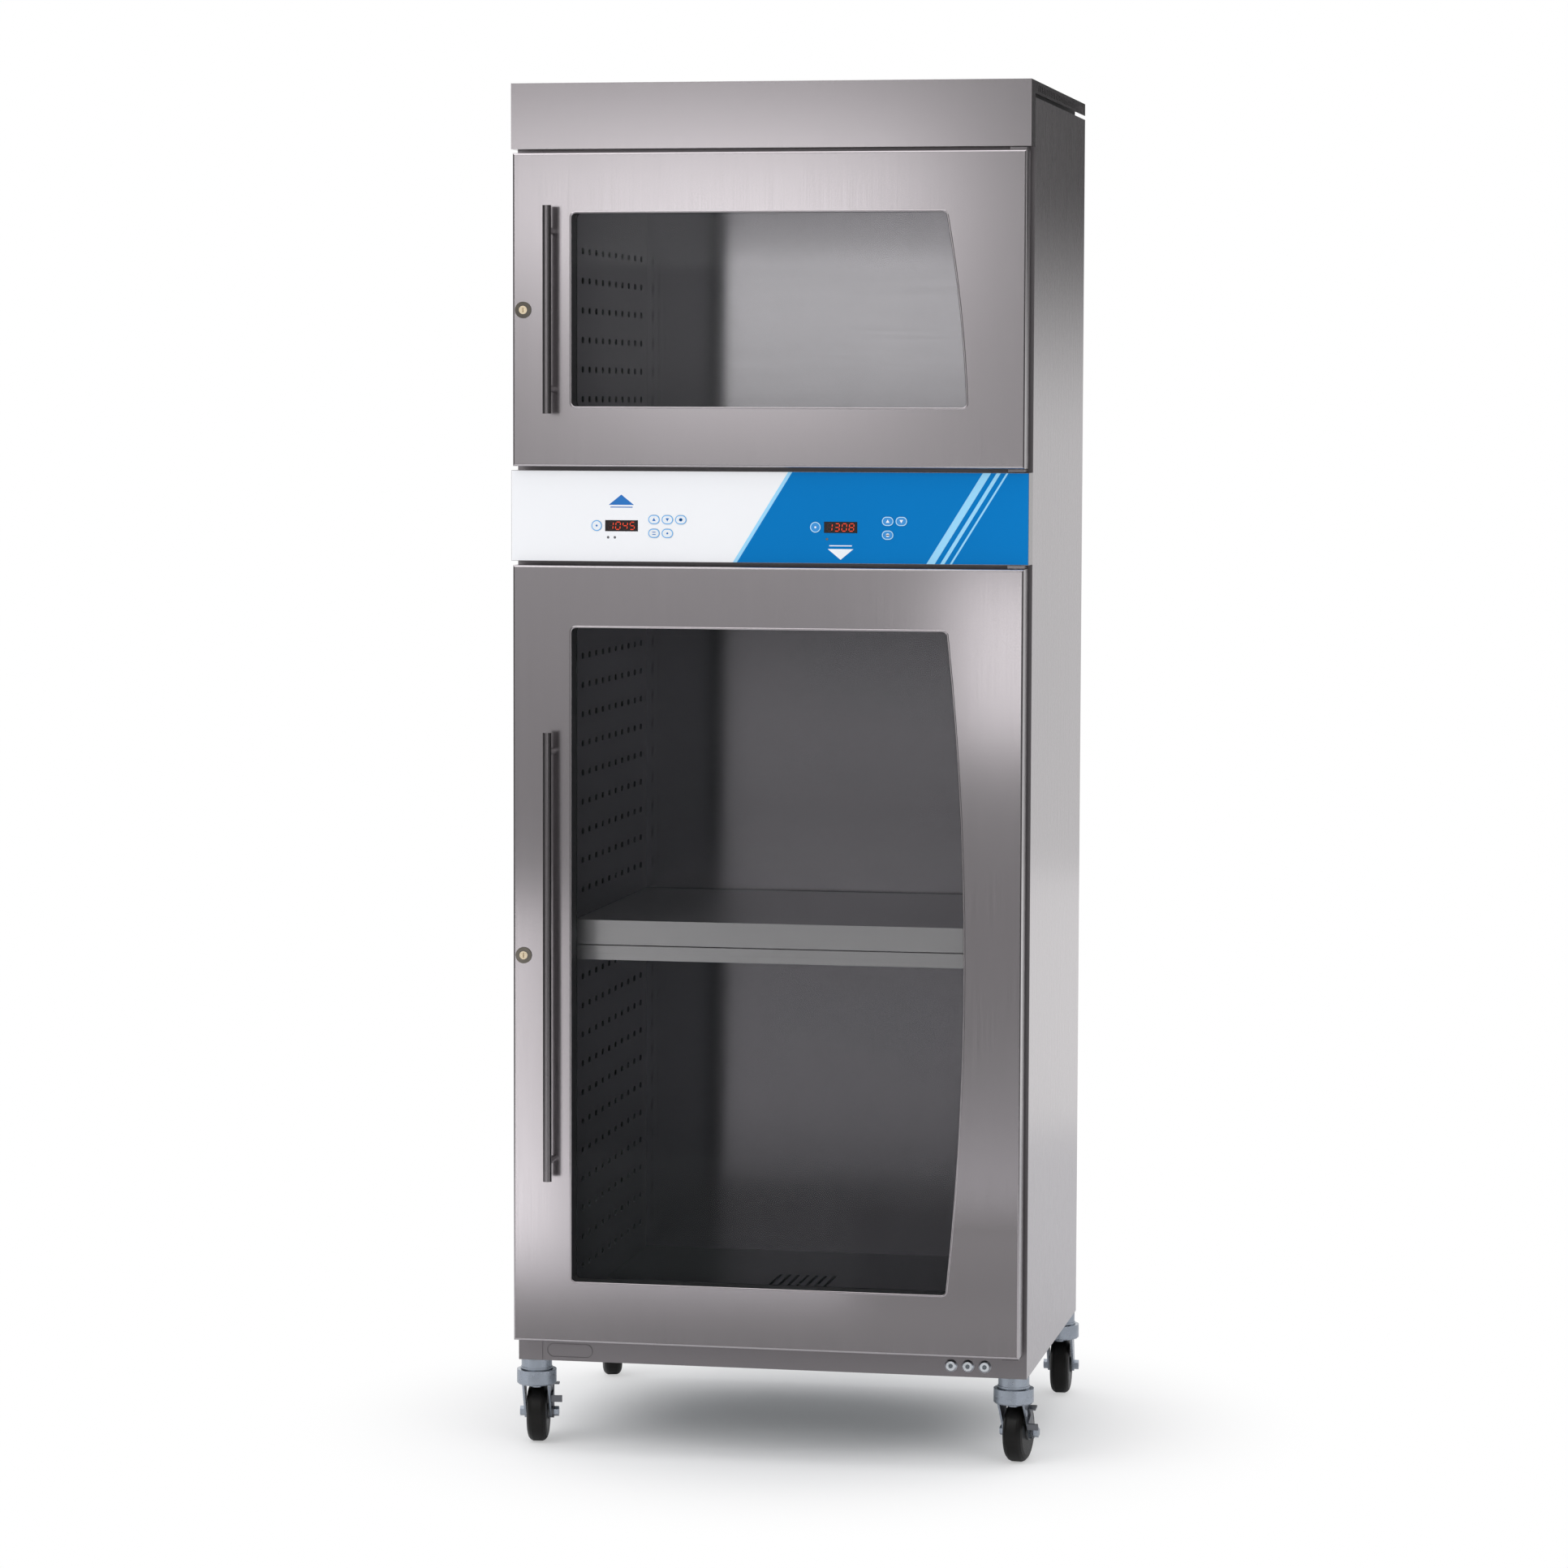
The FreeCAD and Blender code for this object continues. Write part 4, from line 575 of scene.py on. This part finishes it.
def slotted_sheet(shape, x, columns, rows, y_span, z_span):
    """A sheet in a YZ plane with a round-ended slot in each cell of a grid, plain at its edges."""
    half_column = SLOT_COLUMN_PITCH / 2
    half_row = SLOT_ROW_PITCH / 2
    corners = ((1, -1), (1, 1), (-1, 1), (-1, -1))
    shared = {}

    def corner(y, z):
        key = (round(y, 6), round(z, 6))
        if key not in shared:
            shared[key] = shape.verts.new((x, y, z))
        return shared[key]

    for y in columns:
        for z in rows:
            around_slot = stadium_outline(y, z, SLOT_SIZE[0], SLOT_SIZE[1], SLOT_ARC_STEPS)
            inner = [shape.verts.new((x, a, b)) for a, b in around_slot]
            outer = [corner(y + sy * half_column, z + sz * half_row) for sy, sz in corners]
            for k in range(4):
                here, after = outer[k], outer[(k + 1) % 4]
                first, second, third = inner[2 * k], inner[2 * k + 1], inner[(2 * k + 2) % 8]
                shape.faces.new((here, second, first))
                shape.faces.new((here, after, third, second))
    cell_y = [columns[0] - half_column] + [y + half_column for y in columns]
    cell_z = [rows[-1] - half_row] + [z + half_row for z in reversed(rows)]
    steps_y = [y_span[0]] + cell_y + [y_span[1]]
    steps_z = [z_span[0]] + cell_z + [z_span[1]]
    for i in range(len(steps_y) - 1):
        for j in range(len(steps_z) - 1):
            if 0 < i < len(steps_y) - 2 and 0 < j < len(steps_z) - 2:
                continue
            y0, y1, z0, z1 = steps_y[i], steps_y[i + 1], steps_z[j], steps_z[j + 1]
            shape.faces.new((corner(y0, z0), corner(y1, z0), corner(y1, z1), corner(y0, z1)))


def floor_grille(shape, x_span, y_span, y_slots, z):
    """A floor sheet with a row of long slots in it."""
    steps_x = [x_span[0]]
    for i in range(FLOOR_SLOTS):
        x = BODY_MIDDLE + (i - (FLOOR_SLOTS - 1) / 2) * FLOOR_SLOT_PITCH
        steps_x += [x - FLOOR_SLOT_WIDTH / 2, x + FLOOR_SLOT_WIDTH / 2]
    steps_x.append(x_span[1])
    steps_y = [y_span[0], y_slots[0], y_slots[1], y_span[1]]
    verts = [[shape.verts.new((x, y, z)) for y in steps_y] for x in steps_x]
    for i in range(len(steps_x) - 1):
        for j in range(len(steps_y) - 1):
            in_slot = j == 1 and i % 2 == 1
            if not in_slot:
                shape.faces.new((verts[i][j], verts[i + 1][j], verts[i + 1][j + 1], verts[i][j + 1]))


def build_duct_panels(prefix):
    """Both slotted walls and the slotted floor of one chamber."""
    node = prefix + "_duct_panels"
    low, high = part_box(node)
    half_sheet = DUCT_SHEET / 2
    y_span = (low.y, high.y)
    z_span = (low.z + DUCT_SHEET, high.z)
    columns = [BODY_FRONT + FIRST_COLUMN + i * SLOT_COLUMN_PITCH for i in range(SLOT_COLUMNS)]
    first_row = high.z + DUCT_CLEARANCE - FIRST_ROW_DROP
    row_count = int((first_row - z_span[0] - LAST_ROW_RISE) / SLOT_ROW_PITCH) + 1
    rows = [first_row - i * SLOT_ROW_PITCH for i in range(row_count)]

    def build(shape):
        for side in (-1, 1):
            inner_x = BODY_MIDDLE + side * (CHAMBER_HALF + half_sheet)
            outer_x = BODY_MIDDLE + side * (high.x - BODY_MIDDLE - half_sheet)
            slotted_sheet(shape, inner_x, columns, rows, y_span, z_span)
            for y in (y_span[0] + half_sheet, y_span[1] - half_sheet):
                points = ((inner_x, z_span[0]), (outer_x, z_span[0]),
                          (outer_x, z_span[1]), (inner_x, z_span[1]))
                shape.faces.new([shape.verts.new((a, y, b)) for a, b in points])
        floor_half = CHAMBER_HALF - DUCT_CLEARANCE
        blower_low, blower_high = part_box(prefix + "_blower_wheel")
        middle = (blower_low.y + blower_high.y) / 2
        floor_grille(shape, (BODY_MIDDLE - floor_half, BODY_MIDDLE + floor_half), y_span,
                     (middle - FLOOR_SLOT_REACH, middle + FLOOR_SLOT_REACH), low.z + half_sheet)

    piece = new_piece(prefix + "_slotted_ducts", from_bmesh(prefix + "_slotted_ducts", build),
                      duct_painted_shade, "cabinet")
    thickness = piece.modifiers.new("sheet", "SOLIDIFY")
    thickness.thickness = DUCT_SHEET
    thickness.offset = 0.0
    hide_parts(node)


build_duct_panels("upper")
build_duct_panels("lower")


# ---- Print on the panel, keys and displays ---------------------------------------------------
PRINT_RISE = 0.00008
DISPLAY_RISE = 0.0405          # from the film's foot to under the displays and over their lamps
DISPLAY_DEPTH = 0.004
film_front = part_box("control_overlay")[0].y
film_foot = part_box("control_overlay")[0].z
front_of_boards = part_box("control_boards")[0].y
display_foot = film_foot + DISPLAY_RISE


def find_display(side):
    """Centre (x, z) of the display on the left (-1) or the right (1), from its front face's corners."""
    points = [vertex.co for vertex in nodes["control_boards"].data.vertices]
    corners = [p for p in points if p.x * side > 0 and p.y < front_of_boards + FACE_TOLERANCE
               and p.z > display_foot]
    return ((min(p.x for p in corners) + max(p.x for p in corners)) / 2,
            (min(p.z for p in corners) + max(p.z for p in corners)) / 2)


left_display = find_display(-1)
right_display = find_display(1)


def is_display_face(centre, normal):
    return centre.y < front_of_boards + DISPLAY_DEPTH and centre.z > display_foot


def is_lamp_face(centre, normal):
    return centre.y < front_of_boards + FACE_TOLERANCE and centre.z <= display_foot


paint_faces(nodes["control_boards"], display_glass, is_display_face)
paint_faces(nodes["control_boards"], lamp_grey, is_lamp_face)


def arrow(x, z, width, height, up):
    """Outline of a plain triangle pointing up or down, with its middle at x and its base at z."""
    tip = z + height if up else z - height
    return [(x - width / 2, z), (x + width / 2, z), (x, tip)]


def print_on_film(name, outline, ink):
    """A thin printed area on the panel's film."""
    data = from_bmesh(name, lambda shape: flat_prism(shape, outline, film_front - PRINT_RISE, film_front))
    new_piece(name, data, ink, "cabinet")


# An arrow with a bar at its base points to each chamber. A rise is from the film's foot.
ARROW_WIDTH = 0.0375
UP_ARROW_SHIFT = -0.0003
UP_ARROW_RISE, UP_ARROW_HEIGHT, UP_BAR_RISE = 0.0820, 0.0150, 0.0780
DOWN_ARROW_RISE, DOWN_ARROW_HEIGHT, DOWN_BAR_RISE = 0.0205, 0.0155, 0.0245
BAR_HALF_WIDTH = 0.0165
BAR_HEIGHT = 0.0014
up_arrow = arrow(left_display[0] + UP_ARROW_SHIFT, film_foot + UP_ARROW_RISE, ARROW_WIDTH,
                 UP_ARROW_HEIGHT, True)
down_arrow = arrow(right_display[0], film_foot + DOWN_ARROW_RISE, ARROW_WIDTH, DOWN_ARROW_HEIGHT, False)
print_on_film("panel_up_arrow", up_arrow, ink_blue)
print_on_film("panel_down_arrow", down_arrow, ink_white)
for bar_name, middle, rise, ink in (("panel_up_bar", left_display[0], UP_BAR_RISE, ink_blue),
                                    ("panel_down_bar", right_display[0], DOWN_BAR_RISE, ink_white)):
    level = film_foot + rise
    print_on_film(bar_name, [(middle - BAR_HALF_WIDTH, level), (middle + BAR_HALF_WIDTH, level),
                             (middle + BAR_HALF_WIDTH, level + BAR_HEIGHT),
                             (middle - BAR_HALF_WIDTH, level + BAR_HEIGHT)], ink)

# Seven-segment digits: which of the segments a to g are lit.
SEGMENTS = {"0": "abcdef", "1": "bc", "3": "abcdg", "4": "bcfg", "5": "acdfg", "8": "abcdefg"}
DIGIT_SIZE = (0.0066, 0.0106)
DIGIT_PITCH = 0.0106
DIGIT_LEAN = 0.10              # metres to the right for each metre up
STROKE = 0.00120
SEGMENT_GAP = 1.15             # from a digit's corner to a segment's tip, in half strokes


def segment_outline(name, x, z):
    """Outline of one segment of a digit whose centre is at (x, z), leaning a little to the right."""
    width, height = DIGIT_SIZE
    levels = {"a": height / 2, "g": 0, "d": -height / 2}
    uprights = {"f": (-width / 2, 0, height / 2), "b": (width / 2, 0, height / 2),
                "e": (-width / 2, -height / 2, 0), "c": (width / 2, -height / 2, 0)}
    half = STROKE / 2
    gap = half * SEGMENT_GAP
    if name in levels:
        x0, x1, level = -width / 2, width / 2, levels[name]
        points = [(x0 + gap, level), (x0 + gap + half, level - half), (x1 - gap - half, level - half),
                  (x1 - gap, level), (x1 - gap - half, level + half), (x0 + gap + half, level + half)]
    else:
        across, z0, z1 = uprights[name]
        points = [(across, z0 + gap), (across + half, z0 + gap + half), (across + half, z1 - gap - half),
                  (across, z1 - gap), (across - half, z1 - gap - half), (across - half, z0 + gap + half)]
    return [(x + a + b * DIGIT_LEAN, z + b) for a, b in points]


def build_digits(name, centre, text, lit):
    """All lit or all unlit segments of a row of digits."""
    def build(shape):
        for place, digit in enumerate(text):
            x = centre[0] + (place - (len(text) - 1) / 2) * DIGIT_PITCH
            for segment in "abcdefg":
                if (segment in SEGMENTS[digit]) == lit:
                    outline = segment_outline(segment, x, centre[1])
                    flat_prism(shape, outline, front_of_boards - PRINT_RISE, front_of_boards)

    material = segment_lit if lit else segment_unlit
    new_piece(name, from_bmesh(name, build), material, "cabinet")


for digits_name, centre, text in (("left_digits", left_display, "1045"),
                                  ("right_digits", right_display, "1308")):
    build_digits(digits_name, centre, text, True)
    build_digits(digits_name + "_unlit", centre, text, False)

# Prints on the keys: a ring near each edge, and a plain mark in the middle.
KEY_EDGE = 0.0022              # a key's width or height, less the ring's
RING_WIDTH = 0.0012
RING_STEPS = 12
MARK_SIZE = 0.0052
MARK_STROKE = 0.0014
TWO_BARS_STROKE = 0.0012
TWO_BARS_RISE = 0.0016
MARK_STEPS = 4
DOT_SIZE = 0.0030
DOT_STEPS = 6


def key_mark(name, x, z):
    """Outlines of a key's mark: an arrow, a plus, two bars or a dot."""
    base, height = MARK_SIZE * 0.4, MARK_SIZE * 0.9
    if name.endswith("_1"):
        return [arrow(x, z - base, MARK_SIZE, height, True)]
    if name.endswith("_2"):
        return [arrow(x, z + base, MARK_SIZE, height, False)]
    if name.endswith("_3"):
        return [stadium_outline(x, z, MARK_SIZE, MARK_STROKE, MARK_STEPS),
                stadium_outline(x, z, MARK_STROKE, MARK_SIZE, MARK_STEPS)]
    if name.endswith("_4"):
        return [stadium_outline(x, z + rise, MARK_SIZE, TWO_BARS_STROKE, MARK_STEPS)
                for rise in (TWO_BARS_RISE, -TWO_BARS_RISE)]
    return [stadium_outline(x, z, DOT_SIZE, DOT_SIZE, DOT_STEPS)]


def print_on_key(key_name):
    low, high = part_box(key_name)
    x, z = (low.x + high.x) / 2, (low.z + high.z) / 2
    width, height = high.x - low.x - KEY_EDGE, high.z - low.z - KEY_EDGE
    on_left = key_name.startswith("left")
    outer = stadium_outline(x, z, width, height, RING_STEPS)
    inner = stadium_outline(x, z, width - 2 * RING_WIDTH, height - 2 * RING_WIDTH, RING_STEPS)

    def build_ring(shape):
        ring_prism(shape, outer, inner, low.y - PRINT_RISE, low.y)

    def build_mark(shape):
        for outline in key_mark(key_name, x, z):
            flat_prism(shape, outline, low.y - PRINT_RISE, low.y)

    new_piece(key_name + "_ring", from_bmesh(key_name + "_ring", build_ring),
              ring_blue if on_left else ring_pale_blue, key_name)
    new_piece(key_name + "_mark", from_bmesh(key_name + "_mark", build_mark),
              ink_blue if on_left else ink_white, key_name)


for key_name in [name for name in nodes if "_key" in name]:
    print_on_key(key_name)


# ---- Screws of the rear panel ----------------------------------------------------------------
SCREW_RADIUS = 0.0045
SCREW_RISE = 0.0022
SCREW_PROFILE = ((1.0, 0.0), (1.0, 0.5), (0.75, 0.85), (0.35, 1.0), (0.30, 0.45))   # shares of both
SCREW_STEPS = 16
SCREW_INSET = 0.014
SCREW_ROWS = 7


def circle(steps):
    """Cosine and sine of each step round a circle."""
    return [(math.cos(math.tau * i / steps), math.sin(math.tau * i / steps)) for i in range(steps)]


def domed_head(shape, x, y, z):
    """A low pan head on a plane that faces +Y, with a small dimple in its middle."""
    rings = []
    for radius_share, rise_share in SCREW_PROFILE:
        radius = radius_share * SCREW_RADIUS
        rings.append([shape.verts.new((x + radius * a, y + rise_share * SCREW_RISE, z + radius * b))
                      for a, b in circle(SCREW_STEPS)])
    for first, second in zip(rings, rings[1:]):
        for i, j in round_pairs(SCREW_STEPS):
            shape.faces.new((first[i], first[j], second[j], second[i]))
    shape.faces.new(rings[0])
    shape.faces.new(rings[-1])


def build_rear_screws():
    """Screws along both sides of the rear panel, and one in the middle of its foot and of its top."""
    low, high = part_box("rear_panel")
    spots = []
    for row in range(SCREW_ROWS):
        z = low.z + SCREW_INSET + (high.z - low.z - 2 * SCREW_INSET) * row / (SCREW_ROWS - 1)
        spots += [(low.x + SCREW_INSET, z), (high.x - SCREW_INSET, z)]
    spots += [((low.x + high.x) / 2, low.z + SCREW_INSET), ((low.x + high.x) / 2, high.z - SCREW_INSET)]

    def build(shape):
        for x, z in spots:
            domed_head(shape, x, high.y, z)

    new_piece("rear_screws", from_bmesh("rear_screws", build), zinc, "cabinet")


build_rear_screws()


# ---- Foam strips that close the gap under the top cover --------------------------------------
FOAM_INSET = 0.014
FOAM_WIDTH = 0.006
FOAM_FRONT = 0.020             # from the body's front plane to the ends of the side strips
COVER_SHEET = 0.0015


def build_cover_foam():
    """Dark strips on the deck along both sides and the back, up to the cover's underside."""
    low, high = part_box("outer_wrap")
    foot = high.z
    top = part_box("top_cover")[1].z - COVER_SHEET
    left, right = low.x + FOAM_INSET, high.x - FOAM_INSET
    front, back = low.y + FOAM_FRONT, high.y - FOAM_INSET
    strips = (
        (left, left + FOAM_WIDTH, front, back),
        (right - FOAM_WIDTH, right, front, back),
        (left + FOAM_WIDTH, right - FOAM_WIDTH, back - FOAM_WIDTH, back),
    )

    def build(shape):
        for x0, x1, y0, y1 in strips:
            flat_prism(shape, [(x0, foot), (x1, foot), (x1, top), (x0, top)], y0, y1)

    new_piece("cover_foam", from_bmesh("cover_foam", build), seal_rubber, "cabinet")


build_cover_foam()


# ---- Rolled rims of the windows --------------------------------------------------------------
GLASS_REBATE = 0.011           # a little less than the panes run behind the door's face
FRONT_TOLERANCE = 0.00005
RIM_WIDTH = 0.0030
RIM_RISE = 0.0007
RIM_STEPS = 6


def window_outline(prefix):
    """Points of a door's window in its front face, in order round its middle."""
    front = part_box(prefix + "_door_shell")[0].y
    low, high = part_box(prefix + "_door_glass")
    spots = set()
    for vertex in nodes[prefix + "_door_shell"].data.vertices:
        x, y, z = vertex.co
        inside_x = low.x + GLASS_REBATE < x < high.x - GLASS_REBATE
        inside_z = low.z + GLASS_REBATE < z < high.z - GLASS_REBATE
        if y < front + FRONT_TOLERANCE and inside_x and inside_z:
            spots.add((round(x, 5), round(z, 5)))
    middle_x = (low.x + high.x) / 2
    middle_z = (low.z + high.z) / 2
    return sorted(spots, key=lambda spot: math.atan2(spot[1] - middle_z, spot[0] - middle_x))


def grown(outline, distance):
    """An outline's points moved outwards in the plane."""
    moved = []
    for i, j in round_pairs(len(outline)):
        (x, z), before, after = outline[i], outline[i - 1], outline[j]
        along = Vector((after[0] - before[0], after[1] - before[1])).normalized()
        moved.append((x + along.y * distance, z - along.x * distance))
    return moved


def build_rim(prefix):
    """A rounded bead round a window, pressed into the door's sheet."""
    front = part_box(prefix + "_door_shell")[0].y
    outline = window_outline(prefix)

    def build(shape):
        loops = []
        for k in range(RIM_STEPS + 1):
            angle = math.pi * k / RIM_STEPS
            across = RIM_WIDTH * (1 - math.cos(angle)) / 2
            rise = RIM_RISE * math.sin(angle)
            loops.append([shape.verts.new((x, front - rise, z)) for x, z in grown(outline, across)])
        for first, second in zip(loops, loops[1:]):
            for i, j in round_pairs(len(outline)):
                shape.faces.new((first[i], first[j], second[j], second[i]))

    name = prefix + "_window_rim"
    piece = new_piece(name, from_bmesh(name, build), steel_front, prefix + "_door")
    for polygon in piece.data.polygons:
        polygon.use_smooth = True


build_rim("upper")
build_rim("lower")


# ---- Floor, light and camera -----------------------------------------------------------------
def floor_disc():
    """A pale floor that turns into the white background further out."""
    shader = Shader("studio_floor", FLOOR_COLOUR, roughness=FLOOR_ROUGHNESS)
    distance = shader.add("ShaderNodeVectorMath", operation="LENGTH")
    shader.link(shader.place(), distance.inputs[0])
    fade = shader.ramp(distance.outputs["Value"], FLOOR_FADE, interpolation_type="SMOOTHSTEP")
    paths = shader.add("ShaderNodeLightPath")
    white = shader.add("ShaderNodeEmission")
    share = shader.math("MULTIPLY", paths.outputs["Is Camera Ray"], fade)
    blend = shader.add("ShaderNodeMixShader")
    shader.link(share, blend.inputs["Fac"])
    shader.link(shader.shader.outputs["BSDF"], blend.inputs[1])
    shader.link(white.outputs["Emission"], blend.inputs[2])
    shader.link(blend.outputs["Shader"], shader.tree.nodes["Material Output"].inputs["Surface"])

    def build(shape):
        shape.faces.new([shape.verts.new((FLOOR_RADIUS * a, FLOOR_RADIUS * b, 0.0))
                         for a, b in circle(FLOOR_STEPS)])

    piece = bpy.data.objects.new("studio_floor", from_bmesh("studio_floor", build))
    bpy.context.scene.collection.objects.link(piece)
    piece.data.materials.append(shader.material)


def reflection_card(name, x_span, y_span, z_span, heights, levels):
    """An upright card that nothing but a reflection shows, shaded between two heights."""
    shader = Shader(name, (0.0, 0.0, 0.0), roughness=1.0)
    shader.set("Emission Color", WHITE)
    brightness = shader.ramp(shader.axes()["Z"], heights, levels, interpolation_type="SMOOTHSTEP")
    shader.into("Emission Strength", brightness)
    corners = ((x_span[0], y_span[0], z_span[0]), (x_span[1], y_span[1], z_span[0]),
               (x_span[1], y_span[1], z_span[1]), (x_span[0], y_span[0], z_span[1]))

    def build(shape):
        shape.faces.new([shape.verts.new(corner) for corner in corners])

    piece = bpy.data.objects.new(name, from_bmesh(name, build))
    bpy.context.scene.collection.objects.link(piece)
    piece.data.materials.append(shader.material)
    piece.visible_camera = False
    piece.visible_diffuse = False
    piece.visible_shadow = False
    piece.visible_volume_scatter = False


def facing(place, target):
    """A rotation that turns -Z towards the target."""
    direction = Vector(target) - Vector(place)
    return direction.to_track_quat("-Z", "Y").to_euler()


def soft_box(name, place, target, size, power):
    lamp = bpy.data.lights.new(name, "AREA")
    lamp.shape = "RECTANGLE"
    lamp.size, lamp.size_y = size
    lamp.energy = power
    holder = bpy.data.objects.new(name, lamp)
    holder.location = place
    holder.rotation_euler = facing(place, target)
    bpy.context.scene.collection.objects.link(holder)


def studio_world():
    """White to the camera, to reflections and through glass; a softer room light on matt surfaces."""
    world = bpy.data.worlds.new("studio")
    bpy.context.scene.world = world
    world.use_nodes = True
    tree = world.node_tree
    tree.nodes.clear()
    output = tree.nodes.new("ShaderNodeOutputWorld")
    paths = tree.nodes.new("ShaderNodeLightPath")
    mixer = tree.nodes.new("ShaderNodeMixShader")
    for place, colour, strength in ((1, ROOM_COLOUR, ROOM_STRENGTH), (2, WHITE, 1.0)):
        background = tree.nodes.new("ShaderNodeBackground")
        background.inputs["Color"].default_value = colour
        background.inputs["Strength"].default_value = strength
        tree.links.new(background.outputs["Background"], mixer.inputs[place])
    shown_white = paths.outputs["Is Camera Ray"]
    for ray in ("Is Glossy Ray", "Is Transmission Ray"):
        either = tree.nodes.new("ShaderNodeMath")
        either.operation = "MAXIMUM"
        tree.links.new(shown_white, either.inputs[0])
        tree.links.new(paths.outputs[ray], either.inputs[1])
        shown_white = either.outputs["Value"]
    tree.links.new(shown_white, mixer.inputs["Fac"])
    tree.links.new(mixer.outputs["Shader"], output.inputs["Surface"])


floor_disc()
for card in CARDS:
    reflection_card(*card)
for box in SOFT_BOXES:
    soft_box(*box)
studio_world()

scene = bpy.context.scene
scene.view_settings.view_transform = "Standard"
camera_data = bpy.data.cameras.new("camera")
camera_data.lens = CAMERA_LENS
camera = bpy.data.objects.new("camera", camera_data)
columns = (Vector(CAMERA_RIGHT), -Vector(CAMERA_DOWN), -Vector(CAMERA_FORWARD))
turn = Matrix([[column[row] for column in columns] for row in range(3)])
camera.matrix_world = Matrix.Translation(CAMERA_PLACE) @ turn.to_4x4()
scene.collection.objects.link(camera)
scene.camera = camera
